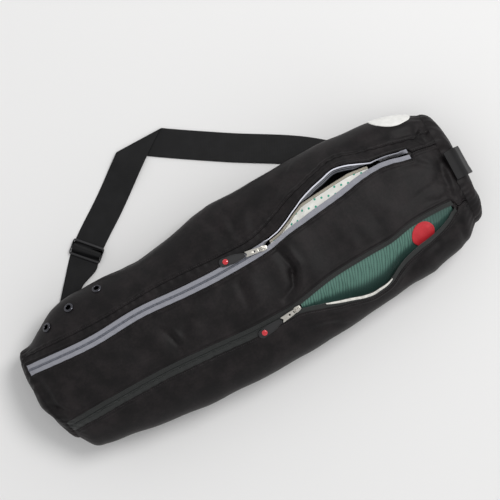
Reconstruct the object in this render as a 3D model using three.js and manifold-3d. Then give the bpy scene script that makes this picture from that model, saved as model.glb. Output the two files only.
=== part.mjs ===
// A yoga mat bag: a soft nylon tube with a long zip along its top, a zipped front pocket and one webbing
// shoulder strap. It lies on its back edge. Millimetres, +X along the bag to the end with the strap loop,
// +Y to the side where the strap lies, +Z up. The origin is on the flat strip that the bag rests on.

import * as THREE from 'three';
import * as BufferGeometryUtils from 'three/addons/utils/BufferGeometryUtils.js';
import Module from 'manifold-3d';

// Driving dimensions of the bag
const bagLength = 690;
const leftReach = 362;
const backReach = 142;
const frontReach = 127;
const bagHeight = 116;
const ridgeY = 8;
const leftBulge = 11;
const rightBulge = 22;
const leftSquareness = 4;
const rightSquareness = 6;
const frontCornerPull = 16;
const clothThickness = 2;
const liningThickness = 1.4;
const seamGap = 0.3;
const baseCut = 5;
const baseLift = 2.6;

// Driving dimensions of the zips
const tapeWidth = 6.4;
const tapeThickness = 1.5;
const coilWidth = 3;
const lipLift = 12;
const lipWidth = 24;
const hangingTape = 15;
const hangingLength = 15;
const tapeLeanShare = 0.4;
const bindingWidth = 4;
const pocketDepth = 15;
const edgeStripWidth = 5;

// Driving dimensions of the zip sliders and their pulls
const sliderLength = 12;
const sliderWidth = 9;
const sliderPlate = 2;
const bridgeWidth = 2.4;
const barDiameter = 1.6;
const runningGap = 0.5;
const pullLength = 27;
const pullWidth = 8.5;
const pullPlate = 1.6;
const tabLength = 40;
const tabWidth = 13;
const tabThickness = 2.2;
const dotDiameter = 8.5;

// Driving dimensions of the strap, its adjuster and the small fittings
const strapWidth = 45;
const strapThickness = 1.8;
const foldRadius = 1.6;
const tailWidth = 28;
const tailThickness = 3.8;
const adjusterWidth = 50;
const adjusterBar = 3.5;
const adjusterSlot = 7.5;
const adjusterThickness = 2.6;
const eyeletDiameter = 15;
const eyeletHole = 8;
const patchDiameter = 60;
const labelDiameter = 37;
const patchThickness = 0.9;

// How finely the cloth is divided
const stationStep = 23;
const topPower = 2.5;
const basePower = 3.4;
const widestShare = 0.45;
const seamAngle = 0.5;

const leftSeam = -leftReach;
const rightSeam = bagLength - leftReach;

// Places along the bag, as shares of its length from the left seam
const mouthStart = 0.564;
const mouthEnd = 0.936;
const pocketStart = 0.57;
const pocketEnd = 0.968;
const zipEndLength = 0.009;

// Outline of the bag: at is a share of the length, back, front and height are shares of the reaches and height
const outline = [
  { at: 0.000, back: 0.563, front: 0.583, height: 0.74 },
  { at: 0.023, back: 0.585, front: 0.760, height: 0.80 },
  { at: 0.052, back: 0.669, front: 0.805, height: 0.85 },
  { at: 0.103, back: 0.803, front: 0.835, height: 0.90 },
  { at: 0.180, back: 0.852, front: 0.898, height: 0.93 },
  { at: 0.291, back: 0.824, front: 0.969, height: 0.96 },
  { at: 0.387, back: 0.873, front: 0.992, height: 0.98 },
  { at: 0.484, back: 0.972, front: 1.000, height: 1.00 },
  { at: 0.610, back: 0.979, front: 0.976, height: 1.00 },
  { at: 0.688, back: 1.000, front: 0.945, height: 0.99 },
  { at: 0.804, back: 0.986, front: 0.890, height: 0.96 },
  { at: 0.901, back: 0.944, front: 0.827, height: 0.92 },
  { at: 0.961, back: 0.866, front: 0.740, height: 0.87 },
  { at: 1.000, back: 0.754, front: 0.583, height: 0.80 },
];

// Lines across the top, seen from above: side is a share of the back reach, or of the front reach if negative
const facingSeam = [
  { at: 0.00, side: 0.480 }, { at: 0.19, side: 0.444 }, { at: 0.33, side: 0.472 }, { at: 0.47, side: 0.437 },
  { at: 0.56, side: 0.444 }, { at: 0.66, side: 0.610 }, { at: 0.745, side: 0.735 }, { at: 0.79, side: 0.765 },
  { at: 0.85, side: 0.690 }, { at: 0.92, side: 0.615 }, { at: 1.00, side: 0.540 },
];
const mainZipLine = [
  { at: 0.00, side: 0.345 }, { at: 0.15, side: 0.296 }, { at: 0.27, side: 0.324 }, { at: 0.39, side: 0.289 },
  { at: 0.46, side: 0.282 }, { at: 0.564, side: 0.300 }, { at: 0.64, side: 0.362 }, { at: 0.76, side: 0.440 },
  { at: 0.86, side: 0.510 }, { at: 0.936, side: 0.445 }, { at: 1.00, side: 0.400 },
];
const mouthCrest = [
  { at: 0.50, side: 0.345 }, { at: 0.564, side: 0.345 }, { at: 0.59, side: 0.362 }, { at: 0.622, side: 0.415 },
  { at: 0.664, side: 0.514 }, { at: 0.70, side: 0.592 }, { at: 0.745, side: 0.655 }, { at: 0.778, side: 0.683 },
  { at: 0.826, side: 0.612 }, { at: 0.858, side: 0.560 }, { at: 0.90, side: 0.520 }, { at: 0.936, side: 0.500 },
  { at: 1.00, side: 0.450 },
];
const liningEdge = [
  { at: 0.564, side: 0.345 }, { at: 0.60, side: 0.396 }, { at: 0.666, side: 0.505 }, { at: 0.719, side: 0.538 },
  { at: 0.776, side: 0.560 }, { at: 0.833, side: 0.552 }, { at: 0.845, side: 0.546 },
];
const pocketZipLine = [
  { at: 0.00, side: -0.420 }, { at: 0.28, side: -0.402 }, { at: 0.455, side: -0.465 }, { at: 0.57, side: -0.465 },
  { at: 1.00, side: -0.300 },
];
const pocketUpperLip = [
  { at: 0.54, side: -0.453 }, { at: 0.57, side: -0.450 }, { at: 0.66, side: -0.362 }, { at: 0.745, side: -0.331 },
  { at: 0.81, side: -0.322 }, { at: 0.868, side: -0.268 }, { at: 0.945, side: -0.262 }, { at: 0.968, side: -0.275 },
];
const pocketLowerLip = [
  { at: 0.54, side: -0.477 }, { at: 0.57, side: -0.480 }, { at: 0.628, side: -0.567 }, { at: 0.674, side: -0.638 },
  { at: 0.722, side: -0.716 }, { at: 0.758, side: -0.708 }, { at: 0.778, side: -0.677 }, { at: 0.813, side: -0.575 },
  { at: 0.858, side: -0.500 }, { at: 0.898, side: -0.472 }, { at: 0.938, side: -0.400 }, { at: 0.968, side: -0.302 },
];

// Folds and dents: each runs from one place to another, with its width and its depth in millimetres as shares
// of the cloth's wall, a negative depth standing proud
const folds = [
  { name: 'centre crease', from: 0.590, fromSide: 0.22, to: 0.597, toSide: -0.08, width: 9, depth: 1.5 },
  { name: 'centre crease tail', from: 0.597, fromSide: -0.08, to: 0.588, toSide: -0.21, width: 9, depth: 1.2 },
  { name: 'centre swell', from: 0.635, fromSide: 0.20, to: 0.640, toSide: -0.18, width: 20, depth: -1.2 },
  { name: 'back edge crease', from: 0.878, fromSide: 0.62, to: 0.975, toSide: 0.60, width: 9, depth: 1.3 },
  { name: 'right end crease', from: 1.000, fromSide: 0.30, to: 0.968, toSide: 0.04, width: 10, depth: 1.5 },
  { name: 'front fold', from: 0.898, fromSide: -0.60, to: 0.797, toSide: -0.80, width: 10, depth: 1.4 },
  { name: 'front end fold', from: 0.961, fromSide: -0.50, to: 0.929, toSide: -0.575, width: 9, depth: 1.2 },
  { name: 'middle crease', from: 0.300, fromSide: 0.02, to: 0.310, toSide: -0.18, width: 12, depth: 0.8 },
  { name: 'left end pucker', from: 0.000, fromSide: -0.12, to: 0.055, toSide: -0.22, width: 10, depth: 1.6 },
  { name: 'left end crease', from: 0.060, fromSide: -0.30, to: 0.110, toSide: -0.36, width: 10, depth: 1.2 },
  { name: 'back hollow', from: 0.250, fromSide: 0.72, to: 0.360, toSide: 0.74, width: 20, depth: 1.4 },
];

// The stretches over which the left end's front corner is drawn in, along the bag and across it
const cornerReach = 110;
const cornerWidth = 55;

// The strap's route over the floor: leg one from the right end to the flat fold, leg two from there to the
// sewn end. x and y are shares of the bag's length and of the back reach, up is in strap thicknesses
const strapLoop = [
  { x: 1.0320, y: 0.12, up: 45.0 }, { x: 1.0380, y: 0.12, up: 38.0 }, { x: 1.0455, y: 0.12, up: 29.0 },
  { x: 1.0465, y: 0.12, up: 17.0 }, { x: 1.0390, y: 0.13, up: 6.0 }, { x: 1.0190, y: 0.14, up: 0.9 },
];
const strapLegOne = [
  { x: 0.970, y: 0.245 }, { x: 0.870, y: 0.560 }, { x: 0.750, y: 1.030 }, { x: 0.604, y: 1.460 },
];
const strapCrease = { x: 0.446, y: 1.960 };
const strapLegTwo = [
  { x: 0.319, y: 1.530 }, { x: 0.2235, y: 1.192 }, { x: 0.169, y: 0.895 }, { x: 0.135, y: 0.700 },
];

const smoothstep = (t) => {
  const u = Math.min(Math.max(t, 0), 1);
  return u * u * (3 - 2 * u);
};
const mix = (a, b, t) => a + (b - a) * t;
const planY = (side) => ridgeY + side * (side > 0 ? backReach : frontReach);
const placeX = (share) => leftSeam + share * bagLength;
const shareOf = (x) => (x - leftSeam) / bagLength;

// Reads one column of a table at a share of the length, as a smooth curve through its rows
function along(rows, column, share) {
  const last = rows.length - 1;
  const s = Math.min(Math.max(share, rows[0].at), rows[last].at);
  const i = Math.max(1, rows.findIndex((row) => row.at >= s));
  const slope = (j) => {
    const before = rows[Math.max(j - 1, 0)];
    const after = rows[Math.min(j + 1, last)];
    return (after[column] - before[column]) / (after.at - before.at);
  };
  const span = rows[i].at - rows[i - 1].at;
  const t = (s - rows[i - 1].at) / span;
  const a = rows[i - 1][column];
  const b = rows[i][column];
  const curve = (2 * t ** 3 - 3 * t ** 2 + 1) * a + (3 * t ** 2 - 2 * t ** 3) * b;
  return curve + span * ((t ** 3 - 2 * t ** 2 + t) * slope(i - 1) + (t ** 3 - t ** 2) * slope(i));
}

const lineY = (rows, x) => planY(along(rows, 'side', shareOf(x)));

function sectionAt(x) {
  const share = shareOf(x);
  return {
    back: backReach * along(outline, 'back', share),
    front: frontReach * along(outline, 'front', share),
    height: bagHeight * along(outline, 'height', share),
  };
}

// The angle round the section whose point lies at y on the upper side: 0 is the back edge, pi the front edge
function angleAt(x, y) {
  const section = sectionAt(x);
  const half = y >= ridgeY ? section.back : section.front;
  const share = Math.min(Math.abs(y - ridgeY) / half, 0.999);
  const angle = Math.acos(share ** (topPower / 2));
  return y >= ridgeY ? angle : Math.PI - angle;
}

// How far the open main zip's back lip stands up, from 0 at the ends of the mouth to 1 in its middle
function mouthOpen(x) {
  const t = (shareOf(x) - mouthStart) / (mouthEnd - mouthStart);
  return smoothstep(t / 0.35) * (1 - smoothstep((t - 0.6) / 0.4));
}

function pocketOpen(x) {
  const t = (shareOf(x) - pocketStart) / (pocketEnd - pocketStart);
  return smoothstep(t / 0.3) * (1 - smoothstep((t - 0.55) / 0.45));
}

const zipY = (x) => lineY(mainZipLine, x);
const closedCrest = (x) => zipY(x) + coilWidth / 2 + tapeWidth;
const crestY = (x) => Math.max(closedCrest(x), shareOf(x) > mouthStart ? lineY(mouthCrest, x) : 0);
const pocketY = (x) => lineY(pocketZipLine, x);
const upperLipY = (x) => (shareOf(x) > pocketStart ? lineY(pocketUpperLip, x) : pocketY(x) + coilWidth / 2);
const lowerLipY = (x) => (shareOf(x) > pocketStart ? lineY(pocketLowerLip, x) : pocketY(x) - coilWidth / 2);

function foldDepth(x, y) {
  let depth = 0;
  for (const fold of folds) {
    const x1 = placeX(fold.from);
    const y1 = planY(fold.fromSide);
    const dx = placeX(fold.to) - x1;
    const dy = planY(fold.toSide) - y1;
    const t = Math.min(Math.max(((x - x1) * dx + (y - y1) * dy) / (dx * dx + dy * dy), 0), 1);
    const distance = Math.hypot(x - x1 - t * dx, y - y1 - t * dy);
    depth += fold.depth * clothThickness * Math.exp(-((distance / fold.width) ** 2));
  }
  return depth;
}

// How far the left end's front corner is drawn towards the middle of the bag
function cornerShift(x, y) {
  return frontCornerPull * smoothstep(-y / cornerWidth) * (1 - smoothstep((x - leftSeam) / cornerReach));
}

// The strap passes under the bag's right back corner, so the base stands clear of the floor there
function baseHeight(x, y) {
  const start = { x: placeX(strapLegOne[0].x), y: planY(strapLegOne[0].y) };
  const end = { x: placeX(strapLegOne[2].x), y: planY(strapLegOne[2].y) };
  const length = Math.hypot(end.x - start.x, end.y - start.y);
  const across = ((end.y - start.y) * (x - start.x) - (end.x - start.x) * (y - start.y)) / length;
  return baseLift * smoothstep((across + strapWidth * 2.2) / strapWidth);
}

// A point of the bag's outer surface
function skin(x, angle) {
  const { back, front, height } = sectionAt(x);
  const c = Math.cos(angle);
  const s = Math.sin(angle);
  const half = c >= 0 ? back : front;
  const middle = widestShare * height;
  const power = s >= 0 ? topPower : basePower;
  let y = ridgeY + Math.sign(c) * half * Math.abs(c) ** (2 / power);
  const rise = s >= 0 ? height - middle : middle + baseCut;
  let z = middle + Math.sign(s) * rise * Math.abs(s) ** (2 / power);
  const flat = baseHeight(x, y);
  if (s > 0) {
    const depth = foldDepth(x, y);
    const lip = y > crestY(x) - 0.5 ? lipLift * mouthOpen(x) * Math.exp(-(((y - crestY(x)) / lipWidth) ** 2)) : 0;
    y -= depth * c;
    z += lip - depth * s;
  }
  z = Math.max(z, flat);
  return new THREE.Vector3(x + cornerShift(x, y), y, z);
}

// The outward normal of any surface given as point(u, v), with v turning anticlockwise seen from +X
function normalOf(point, u, v, du = 0.5, dv = 0.002) {
  const alongU = point(u + du, v).sub(point(u - du, v));
  const alongV = point(u, v + dv).sub(point(u, v - dv));
  return alongV.cross(alongU).normalize();
}

function skinAtDepth(x, angle, depth) {
  return skin(x, angle).addScaledVector(normalOf(skin, x, angle), -depth);
}

// Moves along the section from an angle by an arc length, positive towards the front
function angleAfter(x, angle, arc) {
  const steps = 12;
  let turned = angle;
  for (let i = 0; i < steps; i += 1) {
    const speed = skin(x, turned + 0.002).distanceTo(skin(x, turned - 0.002)) / 0.004;
    turned += arc / steps / speed;
  }
  return turned;
}

// Places along the bag where the cloth is divided: even steps, with the ends of the zips among them
function stationsBetween(from, to) {
  const keys = [0, mouthStart, mouthEnd, mouthEnd + zipEndLength, pocketStart, pocketEnd, pocketEnd + zipEndLength, 1];
  const steps = Math.round(bagLength / stationStep);
  const places = keys.map(placeX);
  for (let i = 1; i < steps; i += 1) {
    const x = placeX(i / steps);
    if (places.every((place) => Math.abs(place - x) > stationStep * 0.4)) places.push(x);
  }
  const inside = places.filter((x) => x > placeX(from) + 1 && x < placeX(to) - 1);
  return [placeX(from), ...inside, placeX(to)].sort((a, b) => a - b);
}

// Builds a closed solid from outer and inner grids of points, turning it outward if need be
function closedGrid(outer, inner) {
  const rows = outer.length;
  const columns = outer[0].length;
  const positions = [];
  const index = (layer, i, j) => layer * rows * columns + i * columns + j;
  for (const grid of [outer, inner]) for (const row of grid) for (const p of row) positions.push(p.x, p.y, p.z);
  const faces = [];
  const quad = (a, b, c, d) => faces.push(a, b, c, a, c, d);
  for (let i = 0; i < rows - 1; i += 1) {
    for (let j = 0; j < columns - 1; j += 1) {
      quad(index(0, i, j), index(0, i + 1, j), index(0, i + 1, j + 1), index(0, i, j + 1));
      quad(index(1, i, j), index(1, i, j + 1), index(1, i + 1, j + 1), index(1, i + 1, j));
    }
  }
  for (let i = 0; i < rows - 1; i += 1) {
    quad(index(0, i, 0), index(1, i, 0), index(1, i + 1, 0), index(0, i + 1, 0));
    const j = columns - 1;
    quad(index(0, i, j), index(0, i + 1, j), index(1, i + 1, j), index(1, i, j));
  }
  for (let j = 0; j < columns - 1; j += 1) {
    quad(index(0, 0, j), index(0, 0, j + 1), index(1, 0, j + 1), index(1, 0, j));
    const i = rows - 1;
    quad(index(0, i, j), index(1, i, j), index(1, i, j + 1), index(0, i, j + 1));
  }
  return facingOut(positions, faces);
}

function facingOut(positions, faces) {
  let volume = 0;
  const corner = (k) => new THREE.Vector3().fromArray(positions, 3 * faces[k]);
  for (let k = 0; k < faces.length; k += 3) volume += corner(k).dot(corner(k + 1).cross(corner(k + 2)));
  const turned = volume < 0 ? faces.map((_, k) => faces[3 * Math.floor(k / 3) + [0, 2, 1][k % 3]]) : faces;
  const geometry = new THREE.BufferGeometry();
  geometry.setAttribute('position', new THREE.Float32BufferAttribute(positions, 3));
  geometry.setIndex(turned);
  return geometry;
}

// A wall of cloth: point(x, t) gives its outer face, and the wall's thickness lies under it
function wall(point, stations, columns, thickness) {
  const outer = [];
  const inner = [];
  for (const x of stations) {
    const row = Array.from({ length: columns + 1 }, (_, j) => point(x, j / columns));
    outer.push(row);
    inner.push(row.map((p, j) => {
      const t = Math.min(Math.max(j / columns, 0.004), 0.996);
      return p.clone().addScaledVector(normalOf(point, x, t), -thickness);
    }));
  }
  return closedGrid(outer, inner);
}

// A wall that follows the bag's surface between two angles, each given at any place along the bag
function panel(lowAngle, highAngle, from, to, columns, thickness = clothThickness, depth = 0) {
  const point = (x, t) => {
    const angle = mix(lowAngle(x), highAngle(x), t);
    return depth ? skinAtDepth(x, angle, depth) : skin(x, angle);
  };
  return wall(point, stationsBetween(from, to), columns, thickness);
}

const half = seamGap / 2;
const atY = (line, offset) => (x) => angleAt(x, line(x) + offset);

// Past the end of a zip the cloth on its two sides closes to one seam
const closing = (x, end) => smoothstep((shareOf(x) - end) / zipEndLength);
const facingEdgeY = (x) => mix(crestY(x), zipY(x), closing(x, mouthEnd));
const topBackY = (x) => mix(zipY(x) - coilWidth / 2 - tapeWidth, zipY(x), closing(x, mouthEnd));
const topFrontY = (x) => mix(upperLipY(x) + tapeWidth, pocketY(x), closing(x, pocketEnd));
const frontEdgeY = (x) => mix(lowerLipY(x) - tapeWidth, pocketY(x), closing(x, pocketEnd));
const seamY = (x) => lineY(facingSeam, x);
const inset = half / bagLength;
const sliderShare = sliderLength / 2 / bagLength;

// The cloth round the bag, from its lower back edge over the top to its lower front edge and underneath: each
// stretch runs between two angles in a number of columns
const coilBackY = (x) => zipY(x) + coilWidth / 2;
const coilFrontY = (x) => zipY(x) - coilWidth / 2;
const around = {
  back: { low: () => -seamAngle + 0.004, high: atY(seamY, half), columns: 9 },
  facing: { low: atY(seamY, -half), high: atY(facingEdgeY, half), columns: 2 },
  tapeBack: { low: atY(crestY, -half), high: atY(coilBackY, half), columns: 1 },
  mainCoil: { low: atY(coilBackY, -half), high: atY(coilFrontY, half), columns: 1 },
  tapeFront: { low: atY(coilFrontY, -half), high: atY(topBackY, half), columns: 1 },
  top: { low: atY(topBackY, -half), high: atY(topFrontY, half), columns: 6 },
  tapeUpper: { low: atY(upperLipY, tapeWidth - half), high: atY(upperLipY, half), columns: 1 },
  pocketCoil: { low: atY(upperLipY, -half), high: atY(lowerLipY, half), columns: 1 },
  tapeLower: { low: atY(lowerLipY, -half), high: atY(lowerLipY, half - tapeWidth), columns: 1 },
  front: { low: atY(frontEdgeY, -half), high: () => Math.PI + seamAngle - 0.004, columns: 8 },
  base: { low: () => Math.PI + seamAngle, high: () => 2 * Math.PI - seamAngle, columns: 5 },
};

function clothPanel({ low, high, columns }) {
  return panel(low, high, inset, 1 - inset, columns);
}

// The angles at which an end panel meets the cloth round it
function seamAngles(x) {
  return Object.values(around).flatMap(({ low, high, columns }) => (
    Array.from({ length: columns }, (_, j) => mix(low(x), high(x), j / columns))));
}

// The lining's bound edge stays in front of the hanging tape
const liningDepth = tapeThickness + 2 * seamGap;
const liningFrom = mouthStart + hangingLength / bagLength;
const liningTo = 0.845;
const liningTop = (x) => Math.min(lineY(liningEdge, x), crestY(x) - bindingWidth - seamGap);

// How far forward the hanging tape can lean before it meets the lining or the front tape
function tapeLean(x) {
  const beside = shareOf(x) > liningFrom - 0.02 && shareOf(x) < liningTo + 0.03;
  const stop = Math.max(beside ? liningTop(x) : zipY(x), zipY(x));
  const room = crestY(x) - stop - 2 * tapeThickness - clothThickness / 2 - seamGap;
  return Math.min(Math.max(room, 0), hangingTape * tapeLeanShare);
}

// The back tape lies flat where the zip is closed, and hangs from the lip into the mouth where it is open
function mainTapeBack() {
  const point = (x, t) => {
    const fromEnds = Math.min(x - placeX(mouthStart), placeX(mouthEnd) - x);
    const open = smoothstep(fromEnds / hangingLength);
    const crest = crestY(x) - half;
    const flat = skin(x, angleAt(x, mix(crest, zipY(x) + coilWidth / 2 + half, t)));
    const lip = skin(x, angleAt(x, crest));
    const lean = tapeLean(x);
    const drop = Math.sqrt(hangingTape ** 2 - lean ** 2);
    const front = lip.y - tapeThickness - clothThickness / 2 - seamGap - lean * t ** 1.3;
    return flat.lerp(new THREE.Vector3(lip.x, front, lip.z - drop * t), open);
  };
  return wall(point, stationsBetween(inset, mouthEnd), 3, tapeThickness);
}

function mainTapeFront() {
  const mouthEdge = (x) => zipY(x) - (coilWidth / 2 + half) * (1 - mouthOpen(x));
  const low = (x) => angleAt(x, mouthEdge(x));
  return zipStrip({ ...around.tapeFront, low }, mouthEnd);
}

function zipStrip({ low, high, columns }, end) {
  return panel(low, high, inset, end, columns, tapeThickness);
}

// The dotted lining shows between the front tape and its own bound edge
function mainLining() {
  const low = (x) => angleAt(x, liningTop(x) - bindingWidth - half);
  const high = (x) => angleAt(x, zipY(x) - tapeWidth);
  const point = (x, t) => skinAtDepth(x, mix(low(x), high(x), t), liningDepth + 1.5 * (1 - t));
  return wall(point, stationsBetween(liningFrom, liningTo), 2, liningThickness);
}

function mainLiningBinding() {
  const low = (x) => angleAt(x, liningTop(x));
  const high = (x) => angleAt(x, liningTop(x) - bindingWidth + half);
  const point = (x, t) => skinAtDepth(x, mix(low(x), high(x), t), liningDepth + 1.2);
  return wall(point, stationsBetween(liningFrom, liningTo), 1, liningThickness + 0.6);
}

// The pocket's back wall sinks from the upper lip and runs on behind the front panel
const pocketBackLow = (x) => angleAt(x, upperLipY(x) + tapeWidth * 0.6);
const pocketBackHigh = (x) => angleAt(x, lowerLipY(x)) + 0.5;
function pocketBackDepth(x, angle) {
  const low = angleAt(x, upperLipY(x));
  const t = (angle - low) / (angleAt(x, lowerLipY(x)) - low + 0.12);
  const flat = clothThickness + 2 * seamGap;
  return flat + (pocketDepth - flat) * smoothstep(t) * (0.35 + 0.65 * pocketOpen(x));
}

function pocketLining() {
  const point = (x, t) => {
    const angle = mix(pocketBackLow(x), pocketBackHigh(x), t);
    return skinAtDepth(x, angle, pocketBackDepth(x, angle));
  };
  return wall(point, stationsBetween(pocketStart + 0.01, pocketEnd - 0.005), 6, liningThickness);
}

function pocketEdgeStrip() {
  const low = (x) => angleAt(x, lowerLipY(x) - half);
  const high = (x) => angleAt(x, lowerLipY(x) - edgeStripWidth);
  return panel(low, high, 0.628, 0.778, 1, patchThickness, -patchThickness - seamGap);
}

// An end panel: rings from the seam to the middle, bulging outward
function endPanel(end) {
  const side = end === 'left' ? -1 : 1;
  const seamX = end === 'left' ? leftSeam : rightSeam;
  const bulge = end === 'left' ? leftBulge : rightBulge;
  const squareness = end === 'left' ? leftSquareness : rightSquareness;
  const angles = seamAngles(seamX);
  const rings = [1, 0.94, 0.8, 0.55, 0.25];
  const { height } = sectionAt(seamX);
  const middle = new THREE.Vector3(0, ridgeY, widestShare * height);
  const ringPoint = (share, angle, shrink, out) => {
    const rim = skinAtDepth(seamX, angle, shrink);
    const x = mix(seamX, rim.x, share) + side * (half + out * Math.sqrt(1 - share ** squareness));
    return new THREE.Vector3(x, mix(middle.y, rim.y, share), mix(middle.z, rim.z, share));
  };
  const layer = (shrink, out) => {
    const points = [];
    for (const share of rings) {
      for (const angle of angles) points.push(ringPoint(share, angle, shrink, out));
    }
    points.push(new THREE.Vector3(seamX + side * (half + out), middle.y, middle.z));
    return points;
  };
  const outer = layer(0, bulge);
  const inner = layer(clothThickness, bulge - clothThickness);
  return cappedRings(outer, inner, rings.length, angles.length);
}

// Closes two layers of rings, each ending in a middle point, into one wall
function cappedRings(outer, inner, rings, sectors) {
  const positions = [...outer, ...inner].flatMap((p) => [p.x, p.y, p.z]);
  const faces = [];
  const size = outer.length;
  const at = (layer, ring, k) => layer * size + ring * sectors + (k % sectors);
  for (let k = 0; k < sectors; k += 1) {
    for (let r = 0; r < rings - 1; r += 1) {
      faces.push(at(0, r, k), at(0, r, k + 1), at(0, r + 1, k + 1), at(0, r, k), at(0, r + 1, k + 1), at(0, r + 1, k));
      faces.push(at(1, r, k), at(1, r + 1, k + 1), at(1, r, k + 1), at(1, r, k), at(1, r + 1, k), at(1, r + 1, k + 1));
    }
    faces.push(at(0, rings - 1, k), at(0, rings - 1, k + 1), size - 1);
    faces.push(at(1, rings - 1, k), 2 * size - 1, at(1, rings - 1, k + 1));
    faces.push(at(0, 0, k), at(1, 0, k + 1), at(0, 0, k + 1), at(0, 0, k), at(1, 0, k), at(1, 0, k + 1));
  }
  return facingOut(positions, faces);
}

// A thin round patch that follows a surface of the bag round a place on it
function conformingDisc(x, angle, radius, depthAt, thickness, rings, sectors) {
  const layer = (extra) => {
    const points = [];
    for (let r = rings; r > 0; r -= 1) {
      for (let k = 0; k < sectors; k += 1) {
        const turn = (2 * Math.PI * k) / sectors;
        const px = x + (radius * r * Math.cos(turn)) / rings;
        const pa = angleAfter(px, angle, (radius * r * Math.sin(turn)) / rings);
        points.push(skinAtDepth(px, pa, depthAt(px, pa) - extra));
      }
    }
    points.push(skinAtDepth(x, angle, depthAt(x, angle) - extra));
    return points;
  };
  return cappedRings(layer(thickness), layer(0), rings, sectors);
}

const patchPlace = { at: 0.940, side: 0.782 };
const patchWrap = 25.5;
function roundPatch() {
  const x = placeX(patchPlace.at);
  const angle = angleAfter(x, angleAt(x, planY(patchPlace.side)), -patchWrap);
  return conformingDisc(x, angle, patchDiameter / 2, () => -0.6, patchThickness, 4, 24);
}

const labelPlace = { at: 0.883, side: -0.415 };
function roundLabel() {
  const x = placeX(labelPlace.at);
  const angle = angleAt(x, planY(labelPlace.side));
  return conformingDisc(x, angle, labelDiameter / 2, (px, pa) => pocketBackDepth(px, pa) - 0.9, patchThickness, 3, 20);
}

const wasm = await Module();
wasm.setup();

function toSolid(geometry) {
  const bare = geometry.clone();
  bare.deleteAttribute('normal');
  bare.deleteAttribute('uv');
  const merged = BufferGeometryUtils.mergeVertices(bare, 1e-4);
  const index = merged.getIndex();
  return new wasm.Manifold(new wasm.Mesh({
    numProp: 3,
    vertProperties: new Float32Array(merged.getAttribute('position').array),
    triVerts: new Uint32Array(index.array),
  }));
}

function toGeometry(solid) {
  const mesh = solid.getMesh();
  const geometry = new THREE.BufferGeometry();
  geometry.setAttribute('position', new THREE.BufferAttribute(new Float32Array(mesh.vertProperties), 3));
  geometry.setIndex(new THREE.BufferAttribute(new Uint32Array(mesh.triVerts), 1));
  return geometry;
}

const join = (...parts) => toGeometry(parts.map(toSolid).reduce((a, b) => a.add(b)));
const cut = (body, ...tools) => toGeometry(tools.map(toSolid).reduce((a, b) => a.subtract(b), toSolid(body)));

// A frame standing on the bag: its x runs along a heading seen from above, its z is the surface's normal
function standOn(x, y, headX, headY) {
  const angle = angleAt(x, y);
  const up = normalOf(skin, x, angle);
  const forward = new THREE.Vector3(headX, headY, 0).projectOnPlane(up).normalize();
  const frame = new THREE.Matrix4().makeBasis(forward, up.clone().cross(forward), up);
  return frame.setPosition(skin(x, angle));
}

function plate(outlinePoints, thickness, holes = []) {
  const shape = new THREE.Shape(outlinePoints.map(([x, y]) => new THREE.Vector2(x, y)));
  for (const hole of holes) shape.holes.push(new THREE.Path(hole.map(([x, y]) => new THREE.Vector2(x, y))));
  return new THREE.ExtrudeGeometry(shape, { depth: thickness, bevelEnabled: false });
}

// The bar of a pull turns in the slider's bridge, seen from the slider's middle along the pull's heading
const barHeight = sliderPlate + runningGap + (barDiameter * Math.SQRT2) / 2;
const bridgeWall = 1.4;
const bridgeInside = 5.2;
const barPlace = bridgeInside / 2 - runningGap - barDiameter * 0.75;
const bridgeTop = barHeight + (barDiameter * Math.SQRT2) / 2 + runningGap + bridgeWall;
const windowLength = Math.hypot(bridgeInside / 2 + bridgeWall + barPlace, bridgeTop - barHeight) + runningGap;
const sliderLift = 0.8;
const pullTilt = 0.05;

function sliderSolid() {
  const l = sliderLength / 2;
  const w = sliderWidth / 2;
  const body = plate([[-l, -w * 0.7], [l * 0.4, -w], [l, -w * 0.55], [l, w * 0.55], [l * 0.4, w], [-l, w * 0.7]],
    sliderPlate);
  const b = bridgeInside / 2;
  const e = b + bridgeWall;
  const arch = plate([[-e, sliderPlate / 2], [-e, bridgeTop - 1], [-e + 1, bridgeTop], [e - 1, bridgeTop],
    [e, bridgeTop - 1], [e, sliderPlate / 2], [b, sliderPlate / 2], [b, bridgeTop - bridgeWall],
    [-b, bridgeTop - bridgeWall], [-b, sliderPlate / 2]], bridgeWidth);
  arch.rotateX(Math.PI / 2).translate(0, bridgeWidth / 2, 0);
  return join(body, arch);
}

function pullSolid() {
  const head = barDiameter / 2;
  const w = pullWidth / 2;
  const inner = bridgeWidth / 2 + runningGap;
  const rail = inner + 1.5;
  const notch = pullWidth * 0.35;
  const shape = plate([[-head, -rail], [windowLength * 0.8, -rail], [windowLength + 4, -w], [pullLength, -w],
    [pullLength - notch, 0], [pullLength, w], [windowLength + 4, w], [windowLength * 0.8, rail], [-head, rail]],
  pullPlate, [[[head, -inner], [head, inner], [windowLength, inner], [windowLength, -inner]]]);
  return shape.translate(0, 0, -pullPlate / 2).rotateY(pullTilt).translate(barPlace, 0, barHeight);
}

function tabSolid() {
  const w = tabWidth / 2;
  const corner = tabWidth * 0.3;
  const outlinePoints = [[0, -w * 0.45], [corner, -w * 0.6], [tabLength * 0.4, -w], [tabLength - corner, -w]];
  for (const turn of [-60, -30, 0, 30, 60]) {
    const a = (turn * Math.PI) / 180;
    outlinePoints.push([tabLength - corner + corner * Math.cos(a), (w - 0.5) * Math.sin(a)]);
  }
  outlinePoints.push([tabLength - corner, w], [tabLength * 0.4, w], [corner, w * 0.6], [0, w * 0.45]);
  return plate(outlinePoints, tabThickness);
}

function dotSolid() {
  const r = dotDiameter / 2;
  const profile = [[0, 0], [r, 0], [r, 0.6], [r * 0.7, 1.3], [0, 1.6]].map(([x, y]) => new THREE.Vector2(x, y));
  return new THREE.LatheGeometry(profile, 12).rotateX(Math.PI / 2);
}

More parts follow.
